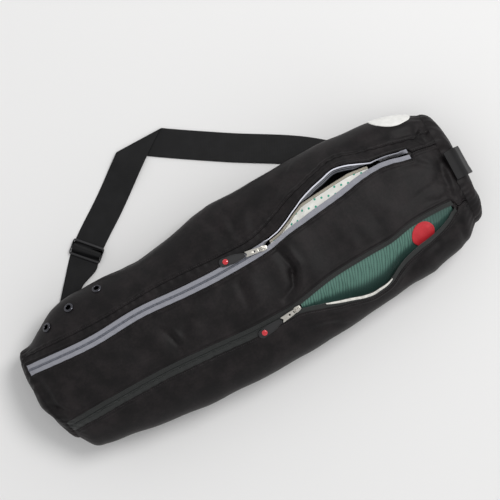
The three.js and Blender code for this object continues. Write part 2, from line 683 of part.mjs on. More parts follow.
// The two pulls: where the slider stands, the way its pull lies, and where its tab starts
const zipPulls = [
  { name: 'main_zip', at: 0.566, side: 0.296, headX: -1, headY: 0.15 },
  { name: 'pocket_zip', at: 0.568, side: -0.466, headX: -1, headY: -0.13 },
];
const dotShare = 0.76;

function eyeletSolid() {
  const r = eyeletDiameter / 2;
  const hole = eyeletHole / 2;
  const barrel = hole + 0.8;
  const below = -clothThickness - 1.4;
  const profile = [[hole, 1.8], [hole, below - 0.8], [r - 1.5, below - 0.8], [r - 1.5, below], [barrel, below],
    [barrel, 0.8], [r, 0.8], [r - 0.6, 1.7], [hole + 0.8, 2.1], [hole, 1.8]].map(([x, y]) => new THREE.Vector2(x, y));
  return new THREE.LatheGeometry(profile, 14).rotateX(Math.PI / 2);
}

const ventRadius = eyeletHole / 2 + 1.2;
const eyeletCut = () => new THREE.CylinderGeometry(ventRadius, ventRadius, 15 * clothThickness, 12)
  .rotateX(Math.PI / 2);
const eyelets = [{ at: 0.212, side: 0.762 }, { at: 0.140, side: 0.722 }, { at: 0.078, side: 0.650 }];

// The strap is swept flat over the floor, and then folded back where it crosses its crease. Its rows follow
// the crease's own line within foldTurn of it, and turn back square to the strap as far as foldReach. The
// upper layer settles on the floor beyond
const foldTurn = 10;
const foldReach = 2 * strapWidth;
const settleFrom = strapWidth;
const settleLength = 50;
const tuckLength = 40;
const floorHeight = strapThickness / 2;
const creaseY = planY(strapCrease.y);

function strapPath() {
  const onFloor = (row) => new THREE.Vector3(placeX(row.x), planY(row.y), floorHeight);
  const loop = strapLoop.map((row) => new THREE.Vector3(placeX(row.x), planY(row.y), row.up * strapThickness));
  const unfold = (row) => {
    const p = onFloor(row);
    return new THREE.Vector3(p.x, 2 * creaseY - p.y + Math.PI * foldRadius, p.z);
  };
  return { loop, floor: [...strapLegOne.map(onFloor), onFloor(strapCrease), ...strapLegTwo.map(unfold)] };
}

function foldOver(p) {
  const beyond = p.y - creaseY;
  if (beyond <= 0) return p;
  const turn = Math.min(beyond / foldRadius, Math.PI);
  const past = Math.max(beyond - Math.PI * foldRadius, 0);
  const radius = foldRadius - (p.z - floorHeight);
  const y = creaseY + radius * Math.sin(turn) - past;
  return new THREE.Vector3(p.x, y, floorHeight + foldRadius - radius * Math.cos(turn));
}

// How far along the strap the nearest point to a place is
function reachOf(curve, target) {
  const length = curve.getLength();
  let best = 0;
  for (let u = 0; u <= 1; u += 0.001) {
    if (curve.getPointAt(u).distanceTo(target) < curve.getPointAt(best).distanceTo(target)) best = u;
  }
  return best * length;
}

const adjusterLength = 3 * adjusterBar + 2 * adjusterSlot;
const adjusterLift = strapThickness + 0.8;

// The webbing rises over the adjuster's middle bar
function barRise(distance) {
  const near = adjusterBar / 2;
  const t = 1 - (Math.abs(distance) - near) / adjusterSlot;
  return (adjusterLift + adjusterThickness + 0.4) * smoothstep(t * 1.12);
}

function strapCurve() {
  const { loop, floor } = strapPath();
  const curve = new THREE.CatmullRomCurve3([...loop, ...floor], false, 'centripetal');
  curve.arcLengthDivisions = 1200;
  const crease = strapLegOne.length;
  return {
    curve,
    length: curve.getLength(),
    floorStart: reachOf(curve, floor[1]),
    crease: reachOf(curve, floor[crease]),
    adjuster: reachOf(curve, floor[crease + 2]),
  };
}

// Past the adjuster the webbing's inner edge is tucked under, in two thicknesses as far as the sewn end
function shoulderStrap() {
  const { curve, length, floorStart, crease, adjuster } = strapCurve();
  const bar = adjusterLength / 2;
  const stretches = [
    { to: floorStart * 0.7, step: 9 }, { to: crease - foldReach, step: 30 }, { to: crease - 1, step: 18 },
    { to: crease + foldTurn, step: 2.2 }, { to: crease + foldReach, step: 18 }, { to: adjuster - bar, step: 20 },
    { to: adjuster + bar, step: 1.9 }, { to: length, step: 11 },
  ];
  const places = [0];
  for (const { to, step } of stretches) {
    const from = places[places.length - 1];
    const count = Math.ceil((to - from) / step);
    for (let i = 1; i <= count; i += 1) places.push(mix(from, to, i / count));
  }
  const columns = 4;
  const heading = curve.getTangentAt(crease / length);
  const layer = (side) => places.map((d) => {
    const tucked = smoothstep((d - adjuster - bar - adjusterSlot) / tuckLength);
    const width = mix(strapWidth, tailWidth, tucked);
    const thickness = mix(strapThickness, tailThickness, tucked);
    const height = (side * thickness) / 2;
    const tangent = curve.getTangentAt(d / length);
    const turned = smoothstep((d / floorStart) * 1.1 - 0.1);
    const level = new THREE.Vector3(tangent.y, -tangent.x, 0).normalize();
    const wide = new THREE.Vector3(0, 1, 0).lerp(level, turned).projectOnPlane(tangent).normalize();
    const up = wide.clone().cross(tangent);
    const skew = (heading.x / heading.y) * (1 - smoothstep((Math.abs(d - crease) - foldTurn) / (foldReach - foldTurn)));
    return Array.from({ length: columns + 1 }, (_, j) => {
      const across = (j / columns) * width - strapWidth / 2;
      const reached = d + across * skew;
      const middle = curve.getPointAt(Math.min(Math.max(reached / length, 0), 1));
      middle.z = Math.max(middle.z, floorHeight);
      const p = foldOver(middle.addScaledVector(wide, across).addScaledVector(up, height));
      const settle = 2 * foldRadius * smoothstep((reached - crease - settleFrom) / settleLength);
      if (d > crease) p.z += barRise(reached - adjuster) - settle + (thickness - strapThickness) / 2;
      else if (d < crease - foldReach) p.z = Math.max(p.z, floorHeight + height);
      return p;
    });
  });
  return closedGrid(layer(1), layer(-1));
}

// The flat frame that the webbing is threaded through
function strapAdjuster() {
  const w = adjusterWidth / 2;
  const l = adjusterLength / 2;
  const chamfer = 2.5;
  const frame = plate([[-l, -w + chamfer], [-l + chamfer, -w], [l - chamfer, -w], [l, -w + chamfer],
    [l, w - chamfer], [l - chamfer, w], [-l + chamfer, w], [-l, w - chamfer]], adjusterThickness);
  const slot = (side) => new THREE.BoxGeometry(adjusterSlot, strapWidth + 1.6, adjusterThickness * 3)
    .translate((side * (adjusterBar + adjusterSlot)) / 2, 0, 0);
  const { curve, length, adjuster } = strapCurve();
  const middle = foldOver(curve.getPointAt(adjuster / length));
  const tangent = curve.getTangentAt(adjuster / length);
  return cut(frame, slot(-1), slot(1)).rotateZ(Math.atan2(-tangent.y, tangent.x))
    .translate(middle.x, middle.y, adjusterLift);
}

const materials = {
  nylon: { color: 0x232225, roughness: 0.78, metalness: 0 },
  greyTape: { color: 0x9b99a2, roughness: 0.8, metalness: 0 },
  coil: { color: 0x78767e, roughness: 0.6, metalness: 0 },
  blackTape: { color: 0x2a2c2c, roughness: 0.8, metalness: 0 },
  creamCloth: { color: 0xe8e6de, roughness: 0.85, metalness: 0 },
  binding: { color: 0xbfae98, roughness: 0.85, metalness: 0 },
  greenCloth: { color: 0x3c6258, roughness: 0.8, metalness: 0 },
  redLabel: { color: 0xc01c28, roughness: 0.6, metalness: 0 },
  whitePatch: { color: 0xe9e9e7, roughness: 0.6, metalness: 0 },
  webbing: { color: 0x1f1f21, roughness: 0.7, metalness: 0 },
  silver: { color: 0xd9d7cf, roughness: 0.3, metalness: 1 },
  gunmetal: { color: 0x3b3b3e, roughness: 0.35, metalness: 1 },
  rubber: { color: 0x18181a, roughness: 0.55, metalness: 0 },
  redPlastic: { color: 0xc8202c, roughness: 0.3, metalness: 0 },
  blackPlastic: { color: 0x1a1a1c, roughness: 0.45, metalness: 0 },
};

const group = new THREE.Group();

function add(name, geometry, finish, parent = group) {
  const mesh = new THREE.Mesh(geometry, new THREE.MeshStandardMaterial(materials[finish]));
  mesh.name = name;
  parent.add(mesh);
  return mesh;
}

const eyeletFrames = eyelets.map(({ at, side }) => standOn(placeX(at), planY(side), 1, 0));
const vents = eyeletFrames.map((frame) => eyeletCut().applyMatrix4(frame));

add('base_panel', clothPanel(around.base), 'nylon');
add('back_panel', cut(clothPanel(around.back), ...vents), 'nylon');
add('zip_facing', clothPanel(around.facing), 'nylon');
add('top_panel', clothPanel(around.top), 'nylon');
add('front_panel', clothPanel(around.front), 'nylon');
add('end_panel_left', endPanel('left'), 'nylon');
add('end_panel_right', endPanel('right'), 'nylon');
add('main_zip_tape_back', mainTapeBack(), 'greyTape');
add('main_zip_tape_front', mainTapeFront(), 'greyTape');
add('main_zip_coil', zipStrip(around.mainCoil, mouthStart - sliderShare), 'coil');
add('pocket_zip_tape_upper', zipStrip(around.tapeUpper, pocketEnd), 'blackTape');
add('pocket_zip_tape_lower', zipStrip(around.tapeLower, pocketEnd), 'blackTape');
add('pocket_zip_coil', zipStrip(around.pocketCoil, pocketStart - sliderShare), 'blackTape');
add('main_lining', mainLining(), 'creamCloth');
add('main_lining_binding', mainLiningBinding(), 'binding');
add('pocket_lining', pocketLining(), 'greenCloth');
add('pocket_lip_edge', pocketEdgeStrip(), 'creamCloth');
add('round_patch', roundPatch(), 'whitePatch');
add('round_label', roundLabel(), 'redLabel');
eyeletFrames.forEach((frame, i) => add(`eyelet_${i + 1}`, eyeletSolid().applyMatrix4(frame), 'gunmetal'));

for (const { name, at, side, headX, headY } of zipPulls) {
  const slider = standOn(placeX(at), planY(side), headX, headY);
  slider.multiply(new THREE.Matrix4().makeTranslation(0, 0, sliderLift));
  add(`${name}_slider`, sliderSolid().applyMatrix4(slider), 'silver');
  add(`${name}_pull`, pullSolid().applyMatrix4(slider), 'silver');
  const heading = new THREE.Vector2(headX, headY).normalize();
  const tabStart = barPlace + pullLength + seamGap;
  const tabPlace = (distance) => [placeX(at) + heading.x * distance, planY(side) + heading.y * distance];
  const tab = standOn(...tabPlace(tabStart + tabLength / 2), headX, headY);
  tab.multiply(new THREE.Matrix4().makeTranslation(-tabLength / 2, 0, seamGap + 0.6));
  add(`${name}_pull_tab`, tabSolid().applyMatrix4(tab), 'rubber');
  tab.multiply(new THREE.Matrix4().makeTranslation(tabLength * dotShare, 0, tabThickness + seamGap));
  add(`${name}_pull_dot`, dotSolid().applyMatrix4(tab), 'redPlastic');
}

add('shoulder_strap', shoulderStrap(), 'webbing');
add('strap_adjuster', strapAdjuster(), 'blackPlastic');

export default group;
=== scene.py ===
"""A yoga mat bag: its cloth, zips, linings, fittings and strap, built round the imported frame.

Metres, +X along the bag to the end with the strap loop, +Y to the strap's side, +Z up."""

import math
from contextlib import contextmanager

import bpy
import numpy as np
from bpy.props import FloatProperty, FloatVectorProperty, PointerProperty
from bpy.types import Operator, Panel, PropertyGroup
from mathutils import Matrix, Vector
from mathutils.kdtree import KDTree


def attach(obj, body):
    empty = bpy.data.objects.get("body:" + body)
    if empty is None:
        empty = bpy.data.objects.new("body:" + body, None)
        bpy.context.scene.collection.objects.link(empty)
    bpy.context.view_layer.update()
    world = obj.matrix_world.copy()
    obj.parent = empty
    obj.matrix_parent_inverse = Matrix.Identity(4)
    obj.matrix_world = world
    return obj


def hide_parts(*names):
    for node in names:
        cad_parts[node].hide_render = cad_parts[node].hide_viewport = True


bl_info = {
    "name": "Yoga Mat Bag",
    "version": (1, 0, 0),
    "blender": (4, 5, 0),
    "location": "3D View > Sidebar > Bag",
    "description": "Builds the cloth, zips, linings, fittings and strap of a yoga mat bag",
    "category": "Add Mesh",
}

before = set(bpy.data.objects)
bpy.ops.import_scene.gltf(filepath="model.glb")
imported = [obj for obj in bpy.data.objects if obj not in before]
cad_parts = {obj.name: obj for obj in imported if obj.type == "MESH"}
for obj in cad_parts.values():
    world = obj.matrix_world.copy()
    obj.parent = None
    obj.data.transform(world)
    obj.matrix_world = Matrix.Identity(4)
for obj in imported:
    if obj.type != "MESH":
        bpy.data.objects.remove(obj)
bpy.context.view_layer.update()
BAG = "bag"
MM = 0.001

# Sizes of the bag, in millimetres
BAG_LENGTH = 690.0
LEFT_SEAM = -362.0
RIGHT_SEAM = LEFT_SEAM + BAG_LENGTH
BACK_REACH = 142.0
FRONT_REACH = 127.0
BAG_HEIGHT = 116.0
RIDGE_Y = 8.0
LEFT_BULGE = 11.0
RIGHT_BULGE = 22.0
LEFT_SQUARENESS = 4.0
RIGHT_SQUARENESS = 6.0
CLOTH = 2.0
BASE_CUT = 5.0
BASE_LIFT = 2.6
TAPE = 6.4
TAPE_WALL = 1.5
COIL = 3.0
LIP_LIFT = 12.0
LIP_WIDTH = 24.0
HANGING_TAPE = 15.0
HANGING_LENGTH = 15.0
TAPE_LEAN_SHARE = 0.4
BINDING = 4.0
POCKET_DEPTH = 15.0
SEAM_GAP = 0.3
TOP_POWER = 2.5
BASE_POWER = 3.4
WIDEST = 0.45
SEAM_ANGLE = 0.5
STRAP_WIDTH = 45.0
STRAP_WALL = 1.8
FOLD_RADIUS = 1.6
HALF = SEAM_GAP / 2
INSET = HALF / BAG_LENGTH
LINING_DEPTH = TAPE_WALL + 2 * SEAM_GAP
INSIDE = (0, RIDGE_Y, 45)

# Walls as drawn, distances between points, and small distances, in millimetres
PANEL_WALL = 1.6
END_WALL = 1.4
LINING_WALL = 0.9
BINDING_WALL = 1.4
LIP_WALL = 0.7
BADGE_WALL = 0.6
COIL_WALL = 1.2
STAY_WALL = 0.6
STAY_DEPTH = 2.6
PANEL_SPACING = 2.6
BASE_SPACING = 7.0
TAPE_SPACING = 0.9
PANEL_STEP = 2.4
ZIP_STEP = 2.2
RIB_STEP = 0.75
COIL_STEP = 0.45
STITCH_INSET = 2.7
LIP_EDGE = 4.0
RIB_TALL = 0.9
EDGE_TURN = 0.004
COIL_SHORT = 0.004

# The badges and eyelets: place and side on the bag, sizes in millimetres
LABEL_PLACE = (0.883, -0.415)
LABEL_RADIUS = 18.5
PATCH_PLACE = (0.940, 0.782)
PATCH_RADIUS = 30.0
PATCH_WRAP = 25.5
EYELETS = ((0.212, 0.762), (0.140, 0.722), (0.078, 0.650))
EYELET_PROFILE = ((4.0, 1.2), (4.1, 1.7), (4.5, 2.15), (5.1, 2.3), (5.8, 2.15), (6.6, 1.75), (7.2, 1.25),
                  (7.5, 0.75), (7.5, 0.5), (5.0, 0.45), (5.0, -3.4), (6.0, -3.5), (6.0, -4.1), (4.0, -4.1),
                  (4.0, 1.2))

# The sliders and pulls, in millimetres; each pull's row: node name, place, side and heading of its slider
BRIDGE_WIDTH = 2.4
RUNNING_GAP = 0.5
BAR = 1.6
PLATE = 2.0
BAR_HEIGHT = PLATE + RUNNING_GAP + BAR * math.sqrt(2) / 2
BAR_PLACE = 2.6 - RUNNING_GAP - BAR * 0.75
BRIDGE_TOP = BAR_HEIGHT + BAR * math.sqrt(2) / 2 + RUNNING_GAP + 1.4
WINDOW = math.hypot(2.6 + 1.4 + BAR_PLACE, BRIDGE_TOP - BAR_HEIGHT) + RUNNING_GAP
SLIDER_LIFT = 0.8
PULL_LENGTH = 27.0
PULL_WIDTH = 8.5
PULL_WALL = 1.6
PULL_TILT = 0.05
TAB_LENGTH = 40.0
TAB_WIDTH = 13.0
TAB_WALL = 2.2
DOT_SHARE = 0.76
DOT_PROFILE = ((0.0, 0.0), (3.9, 0.0), (4.2, 0.2), (4.25, 0.5), (4.1, 0.8), (3.7, 1.05), (3.3, 1.2),
               (2.6, 1.42), (1.8, 1.58), (0.9, 1.67), (0.0, 1.7))
ZIP_PULLS = (("main_zip", 0.566, 0.296, -1.0, 0.15), ("pocket_zip", 0.568, -0.466, -1.0, -0.13))

# Places along the bag, as shares of its length, and how far along each opening it is fully open
MOUTH_START = 0.564
MOUTH_END = 0.936
MOUTH_RISE = 0.35
MOUTH_FALL = 0.6
POCKET_START = 0.57
POCKET_END = 0.968
POCKET_RISE = 0.3
POCKET_FALL = 0.55
ZIP_END = 0.009
LINING_FROM = MOUTH_START + HANGING_LENGTH / BAG_LENGTH
LINING_TO = 0.845

# Outline rows: place, back, front and height as shares of the reaches and the height
OUTLINE = np.array([
    (0.000, 0.563, 0.583, 0.74), (0.023, 0.585, 0.760, 0.80), (0.052, 0.669, 0.805, 0.85),
    (0.103, 0.803, 0.835, 0.90), (0.180, 0.852, 0.898, 0.93), (0.291, 0.824, 0.969, 0.96),
    (0.387, 0.873, 0.992, 0.98), (0.484, 0.972, 1.000, 1.00), (0.610, 0.979, 0.976, 1.00),
    (0.688, 1.000, 0.945, 0.99), (0.804, 0.986, 0.890, 0.96), (0.901, 0.944, 0.827, 0.92),
    (0.961, 0.866, 0.740, 0.87), (1.000, 0.754, 0.583, 0.80)])

# Lines across the top: place, and share of the back reach, or of the front reach where negative
FACING_SEAM = np.array([
    (0.00, 0.480), (0.19, 0.444), (0.33, 0.472), (0.47, 0.437), (0.56, 0.444), (0.66, 0.610),
    (0.745, 0.735), (0.79, 0.765), (0.85, 0.690), (0.92, 0.615), (1.00, 0.540)])
MAIN_ZIP = np.array([
    (0.00, 0.345), (0.15, 0.296), (0.27, 0.324), (0.39, 0.289), (0.46, 0.282), (0.564, 0.300),
    (0.64, 0.362), (0.76, 0.440), (0.86, 0.510), (0.936, 0.445), (1.00, 0.400)])
MOUTH_CREST = np.array([
    (0.50, 0.345), (0.564, 0.345), (0.59, 0.362), (0.622, 0.415), (0.664, 0.514), (0.70, 0.592),
    (0.745, 0.655), (0.778, 0.683), (0.826, 0.612), (0.858, 0.560), (0.90, 0.520), (0.936, 0.500),
    (1.00, 0.450)])
LINING_EDGE = np.array([
    (0.564, 0.345), (0.60, 0.396), (0.666, 0.505), (0.719, 0.538), (0.776, 0.560), (0.833, 0.552),
    (0.845, 0.546)])
POCKET_ZIP = np.array([(0.00, -0.420), (0.28, -0.402), (0.455, -0.465), (0.57, -0.465), (1.00, -0.300)])
UPPER_LIP = np.array([
    (0.54, -0.453), (0.57, -0.450), (0.66, -0.362), (0.745, -0.331), (0.81, -0.322), (0.868, -0.268),
    (0.945, -0.262), (0.968, -0.275)])
LOWER_LIP = np.array([
    (0.54, -0.477), (0.57, -0.480), (0.628, -0.567), (0.674, -0.638), (0.722, -0.716), (0.758, -0.708),
    (0.778, -0.677), (0.813, -0.575), (0.858, -0.500), (0.898, -0.472), (0.938, -0.400), (0.968, -0.302)])

# Folds: place and side of both ends, width in millimetres, depth in walls of cloth (negative stands proud)
FOLDS = [
    ("centre crease", 0.590, 0.22, 0.597, -0.08, 9, 1.5),
    ("centre crease tail", 0.597, -0.08, 0.588, -0.21, 9, 1.2),
    ("centre swell", 0.635, 0.20, 0.640, -0.18, 20, -1.2),
    ("back edge crease", 0.878, 0.62, 0.975, 0.60, 9, 1.3),
    ("right end crease", 1.000, 0.30, 0.968, 0.04, 10, 1.5),
    ("front fold", 0.898, -0.60, 0.797, -0.80, 10, 1.4),
    ("front end fold", 0.961, -0.50, 0.929, -0.575, 9, 1.2),
    ("middle crease", 0.300, 0.02, 0.310, -0.18, 12, 0.8),
    ("left end pucker", 0.000, -0.12, 0.055, -0.22, 10, 1.6),
    ("left end crease", 0.060, -0.30, 0.110, -0.36, 10, 1.2),
    ("back hollow", 0.250, 0.72, 0.360, 0.74, 20, 1.4),
]
CORNER_REACH = 110.0
CORNER_WIDTH = 55.0
CORNER_PULL = 16.0

# The strap's route: places and sides as on the bag, heights of its loop in thicknesses of webbing
STRAP_LOOP = [(1.0320, 0.12, 45.0), (1.0380, 0.12, 38.0), (1.0455, 0.12, 29.0), (1.0465, 0.12, 17.0),
              (1.0390, 0.13, 6.0), (1.0190, 0.14, 0.9)]
STRAP_START = [(1.0022, 0.12, 52.6), (1.0196, 0.12, 50.9), (1.0290, 0.12, 47.8)]
STRAP_LEG_ONE = [(0.970, 0.245), (0.870, 0.560), (0.750, 1.030), (0.604, 1.460)]
STRAP_CREASE = (0.446, 1.960)
STRAP_LEG_TWO = [(0.319, 1.530), (0.2235, 1.192), (0.169, 0.895), (0.135, 0.700)]


def smoothstep(t):
    u = np.clip(t, 0.0, 1.0)
    return u * u * (3.0 - 2.0 * u)


def mix(a, b, t):
    return a + (b - a) * t


def plan_y(side):
    return RIDGE_Y + side * np.where(np.asarray(side) > 0, BACK_REACH, FRONT_REACH)


def place_x(share):
    return LEFT_SEAM + np.asarray(share) * BAG_LENGTH


def share_of(x):
    return (np.asarray(x, dtype=float) - LEFT_SEAM) / BAG_LENGTH


def along(rows, column, share):
    """Reads one column of a table at shares of the length, as a smooth curve through its rows."""
    at = rows[:, 0]
    values = rows[:, column]
    s = np.clip(share, at[0], at[-1])
    i = np.clip(np.searchsorted(at, s, side="left"), 1, len(at) - 1)
    low = np.maximum(np.arange(len(at)) - 1, 0)
    high = np.minimum(np.arange(len(at)) + 1, len(at) - 1)
    slopes = (values[high] - values[low]) / (at[high] - at[low])
    span = at[i] - at[i - 1]
    t = (s - at[i - 1]) / span
    curve = (2 * t**3 - 3 * t**2 + 1) * values[i - 1] + (3 * t**2 - 2 * t**3) * values[i]
    return curve + span * ((t**3 - 2 * t**2 + t) * slopes[i - 1] + (t**3 - t**2) * slopes[i])


def line_y(rows, x):
    return plan_y(along(rows, 1, share_of(x)))


def section_at(x):
    share = share_of(x)
    return (BACK_REACH * along(OUTLINE, 1, share), FRONT_REACH * along(OUTLINE, 2, share),
            BAG_HEIGHT * along(OUTLINE, 3, share))


def angle_at(x, y):
    """The angle round the section at y on the upper side: 0 is the back edge, pi the front edge."""
    back, front, _ = section_at(x)
    reach = np.where(y >= RIDGE_Y, back, front)
    share = np.minimum(np.abs(y - RIDGE_Y) / reach, 0.999)
    angle = np.arccos(share ** (TOP_POWER / 2))
    return np.where(y >= RIDGE_Y, angle, math.pi - angle)


def mouth_open(x):
    t = (share_of(x) - MOUTH_START) / (MOUTH_END - MOUTH_START)
    return smoothstep(t / MOUTH_RISE) * (1 - smoothstep((t - MOUTH_FALL) / (1 - MOUTH_FALL)))


def pocket_open(x):
    t = (share_of(x) - POCKET_START) / (POCKET_END - POCKET_START)
    return smoothstep(t / POCKET_RISE) * (1 - smoothstep((t - POCKET_FALL) / (1 - POCKET_FALL)))


def zip_y(x):
    return line_y(MAIN_ZIP, x)


def crest_y(x):
    bowed = np.where(share_of(x) > MOUTH_START, line_y(MOUTH_CREST, x), 0.0)
    return np.maximum(zip_y(x) + COIL / 2 + TAPE, bowed)


def pocket_y(x):
    return line_y(POCKET_ZIP, x)


def upper_lip_y(x):
    return np.where(share_of(x) > POCKET_START, line_y(UPPER_LIP, x), pocket_y(x) + COIL / 2)


def lower_lip_y(x):
    return np.where(share_of(x) > POCKET_START, line_y(LOWER_LIP, x), pocket_y(x) - COIL / 2)


def segment_distance(x, y, x1, y1, x2, y2):
    dx, dy = x2 - x1, y2 - y1
    t = np.clip(((x - x1) * dx + (y - y1) * dy) / (dx * dx + dy * dy), 0.0, 1.0)
    return np.hypot(x - x1 - t * dx, y - y1 - t * dy), t


def fold_depth(x, y):
    depth = np.zeros(np.broadcast(x, y).shape)
    for _, at1, side1, at2, side2, width, walls in FOLDS:
        distance, _ = segment_distance(x, y, place_x(at1), plan_y(side1), place_x(at2), plan_y(side2))
        depth = depth + walls * CLOTH * np.exp(-((distance / width) ** 2))
    return depth


def corner_shift(x, y):
    """How far the left end's front corner is drawn towards the middle of the bag."""
    return CORNER_PULL * smoothstep(-y / CORNER_WIDTH) * (1 - smoothstep((x - LEFT_SEAM) / CORNER_REACH))


def base_height(x, y):
    start = (place_x(STRAP_LEG_ONE[0][0]), plan_y(STRAP_LEG_ONE[0][1]))
    end = (place_x(STRAP_LEG_ONE[2][0]), plan_y(STRAP_LEG_ONE[2][1]))
    length = math.hypot(end[0] - start[0], end[1] - start[1])
    across = ((end[1] - start[1]) * (x - start[0]) - (end[0] - start[0]) * (y - start[1])) / length
    return BASE_LIFT * smoothstep((across + STRAP_WIDTH * 2.2) / STRAP_WIDTH)


def skin(x, angle, wrinkle=None):
    """Points of the bag's outer surface, in millimetres; wrinkle(x, y, angle) adds fine relief outward."""
    x, angle = np.broadcast_arrays(np.asarray(x, dtype=float), np.asarray(angle, dtype=float))
    back, front, height = section_at(x)
    c, s = np.cos(angle), np.sin(angle)
    middle = WIDEST * height
    power = np.where(s >= 0, TOP_POWER, BASE_POWER)
    reach = np.where(c >= 0, back, front)
    y = RIDGE_Y + np.sign(c) * reach * np.abs(c) ** (2 / power)
    rise = np.where(s >= 0, height - middle, middle + BASE_CUT)
    z = middle + np.sign(s) * rise * np.abs(s) ** (2 / power)
    floor = base_height(x, y)
    crest = crest_y(x)
    above = s > 0
    depth = np.where(above, fold_depth(x, y), 0.0)
    raised = LIP_LIFT * mouth_open(x) * np.exp(-(((y - crest) / LIP_WIDTH) ** 2))
    lip = np.where(above & (y > crest - 0.5), raised, 0)
    if wrinkle is not None:
        depth = depth - wrinkle(x, y, angle)
    y = y - depth * c
    z = z + lip - depth * s
    z = np.maximum(z, floor)
    return np.stack([x + corner_shift(x, y), y, z], axis=-1)


def normals_of(point, u, v, du=0.5, dv=0.002):
    along_u = point(u + du, v) - point(u - du, v)
    along_v = point(u, v + dv) - point(u, v - dv)
    normal = np.cross(along_v, along_u)
    return normal / np.maximum(np.linalg.norm(normal, axis=-1, keepdims=True), 1e-9)


# Colours and pattern sizes that a user would change

def linear(hex_colour):
    """An sRGB hex colour as linear RGBA."""
    channels = [int(hex_colour[i:i + 2], 16) / 255 for i in (1, 3, 5)]
    return tuple(c / 12.92 if c <= 0.04045 else ((c + 0.055) / 1.055) ** 2.4 for c in channels) + (1.0,)


def colour(name, description, hex_colour):
    return FloatVectorProperty(name=name, description=description, subtype="COLOR", size=4, min=0.0, max=1.0,
                               default=linear(hex_colour))


def length(name, description, metres):
    return FloatProperty(name=name, description=description, default=metres, min=0.0001, unit="LENGTH",
                         subtype="DISTANCE", precision=4)


class BagColours(PropertyGroup):
    nylon: colour("Nylon", "Outer cloth", "#0f0d0e")
    nylon_light: colour("Nylon, raised", "Outer cloth where its threads catch the light", "#211d1e")
    grey_tape: colour("Grey tape", "Tapes of the main zip", "#96979f")
    grey_tape_dark: colour("Grey tape, shaded", "Grooves between the tape's ribs", "#777982")
    # Painted shade: the navy stands for the hanging tape's inner face in shade
    navy: colour("Navy stripe", "Stripes on the open side of the back tape", "#1d2433")
    coil: colour("Coil", "Main zip's coil", "#6c6f7a")
    black_tape: colour("Black tape", "Tapes and coil of the pocket's zip", "#161a19")
    cream: colour("Cream lining", "Ground of the dotted lining", "#e8e8e2")
    dots: colour("Dots", "Dots on the cream lining", "#2f9c84")
    binding: colour("Binding", "Bound edge of the cream lining", "#bdb6a6")
    # Lit and shaded copies of the pocket lining's green: painted light on the rib tops, painted shade in the
    # grooves, lower down and towards the label
    green_lit: colour("Green, ribs", "Tops of the pocket lining's ribs", "#4d7468")
    green_shaded: colour("Green, grooves", "Pocket lining between its ribs", "#1f3f39")
    lip: colour("Lip", "Edge strip on the pocket's lower lip", "#dedcd6")
    red: colour("Red", "Round label and the pulls' dots", "#bd1826")
    patch: colour("Patch", "Round patch on the back edge", "#e4e4e1")
    webbing: colour("Webbing", "Strap", "#131314")
    silver: colour("Silver", "Sliders and pulls", "#d2cfc7")
    gunmetal: colour("Gunmetal", "Eyelets", "#4a4a4f")
    rubber: colour("Rubber", "Pull tabs", "#161618")
    plastic: colour("Plastic", "Strap adjuster", "#17171a")
    floor: colour("Floor", "Studio floor", "#e6e6e6")


class BagSizes(PropertyGroup):
    weave: length("Nylon weave", "Spacing of the outer cloth's threads", 0.0011)
    tape_weave: length("Tape weave", "Spacing of the zip tapes' ribs", 0.0013)
    webbing_rib: length("Webbing rib", "Spacing of the strap's ribs", 0.0019)
    dot_spacing: length("Dot spacing", "Distance between dots on the lining", 0.011)
    dot_radius: length("Dot radius", "Size of the lining's dots", 0.0018)
    rib_pitch: length("Rib pitch", "Distance between the pocket lining's ribs", 0.0046)
    stitch_pitch: length("Stitch pitch", "Distance from stitch to stitch", 0.0037)


# Nodes and the finishes built from them

def scaled(base, factor):
    """A colour made darker, or lighter up to white."""
    return tuple(min(1.0, c * factor) for c in base[:3]) + (1.0,)


class Nodes:
    """Adds nodes to a tree. Each value given is a number, a colour or the socket that it comes from."""

    def __init__(self, tree):
        self.tree = tree

    def node(self, kind, sockets, **settings):
        node = self.tree.nodes.new(kind)
        for key, value in settings.items():
            setattr(node, key, value)
        for key, value in sockets.items():
            if isinstance(value, bpy.types.NodeSocket):
                self.tree.links.new(value, node.inputs[key])
            else:
                node.inputs[key].default_value = value
        return node

    def coordinates(self, key):
        return self.node("ShaderNodeTexCoord", {}).outputs[key]

    def parts(self, vector):
        return self.node("ShaderNodeSeparateXYZ", {"Vector": vector}).outputs

    def math(self, operation, a, b=0.0):
        return self.node("ShaderNodeMath", {0: a, 1: b}, operation=operation).outputs[0]

    def add(self, a, b):
        return self.math("ADD", a, b)

    def less(self, a, b):
        return self.math("SUBTRACT", a, b)

    def times(self, a, b):
        return self.math("MULTIPLY", a, b)

    def ramp(self, value, low, high):
        """0 below one value, 1 above another, smooth between them."""
        sockets = {0: value, 1: low, 2: high, 3: 0.0, 4: 1.0}
        return self.node("ShaderNodeMapRange", sockets, interpolation_type="SMOOTHSTEP").outputs[0]

    def blend(self, factor, a, b):
        """One colour turning to another."""
        return self.node("ShaderNodeMix", {"Factor": factor, 6: a, 7: b}, data_type="RGBA").outputs[2]


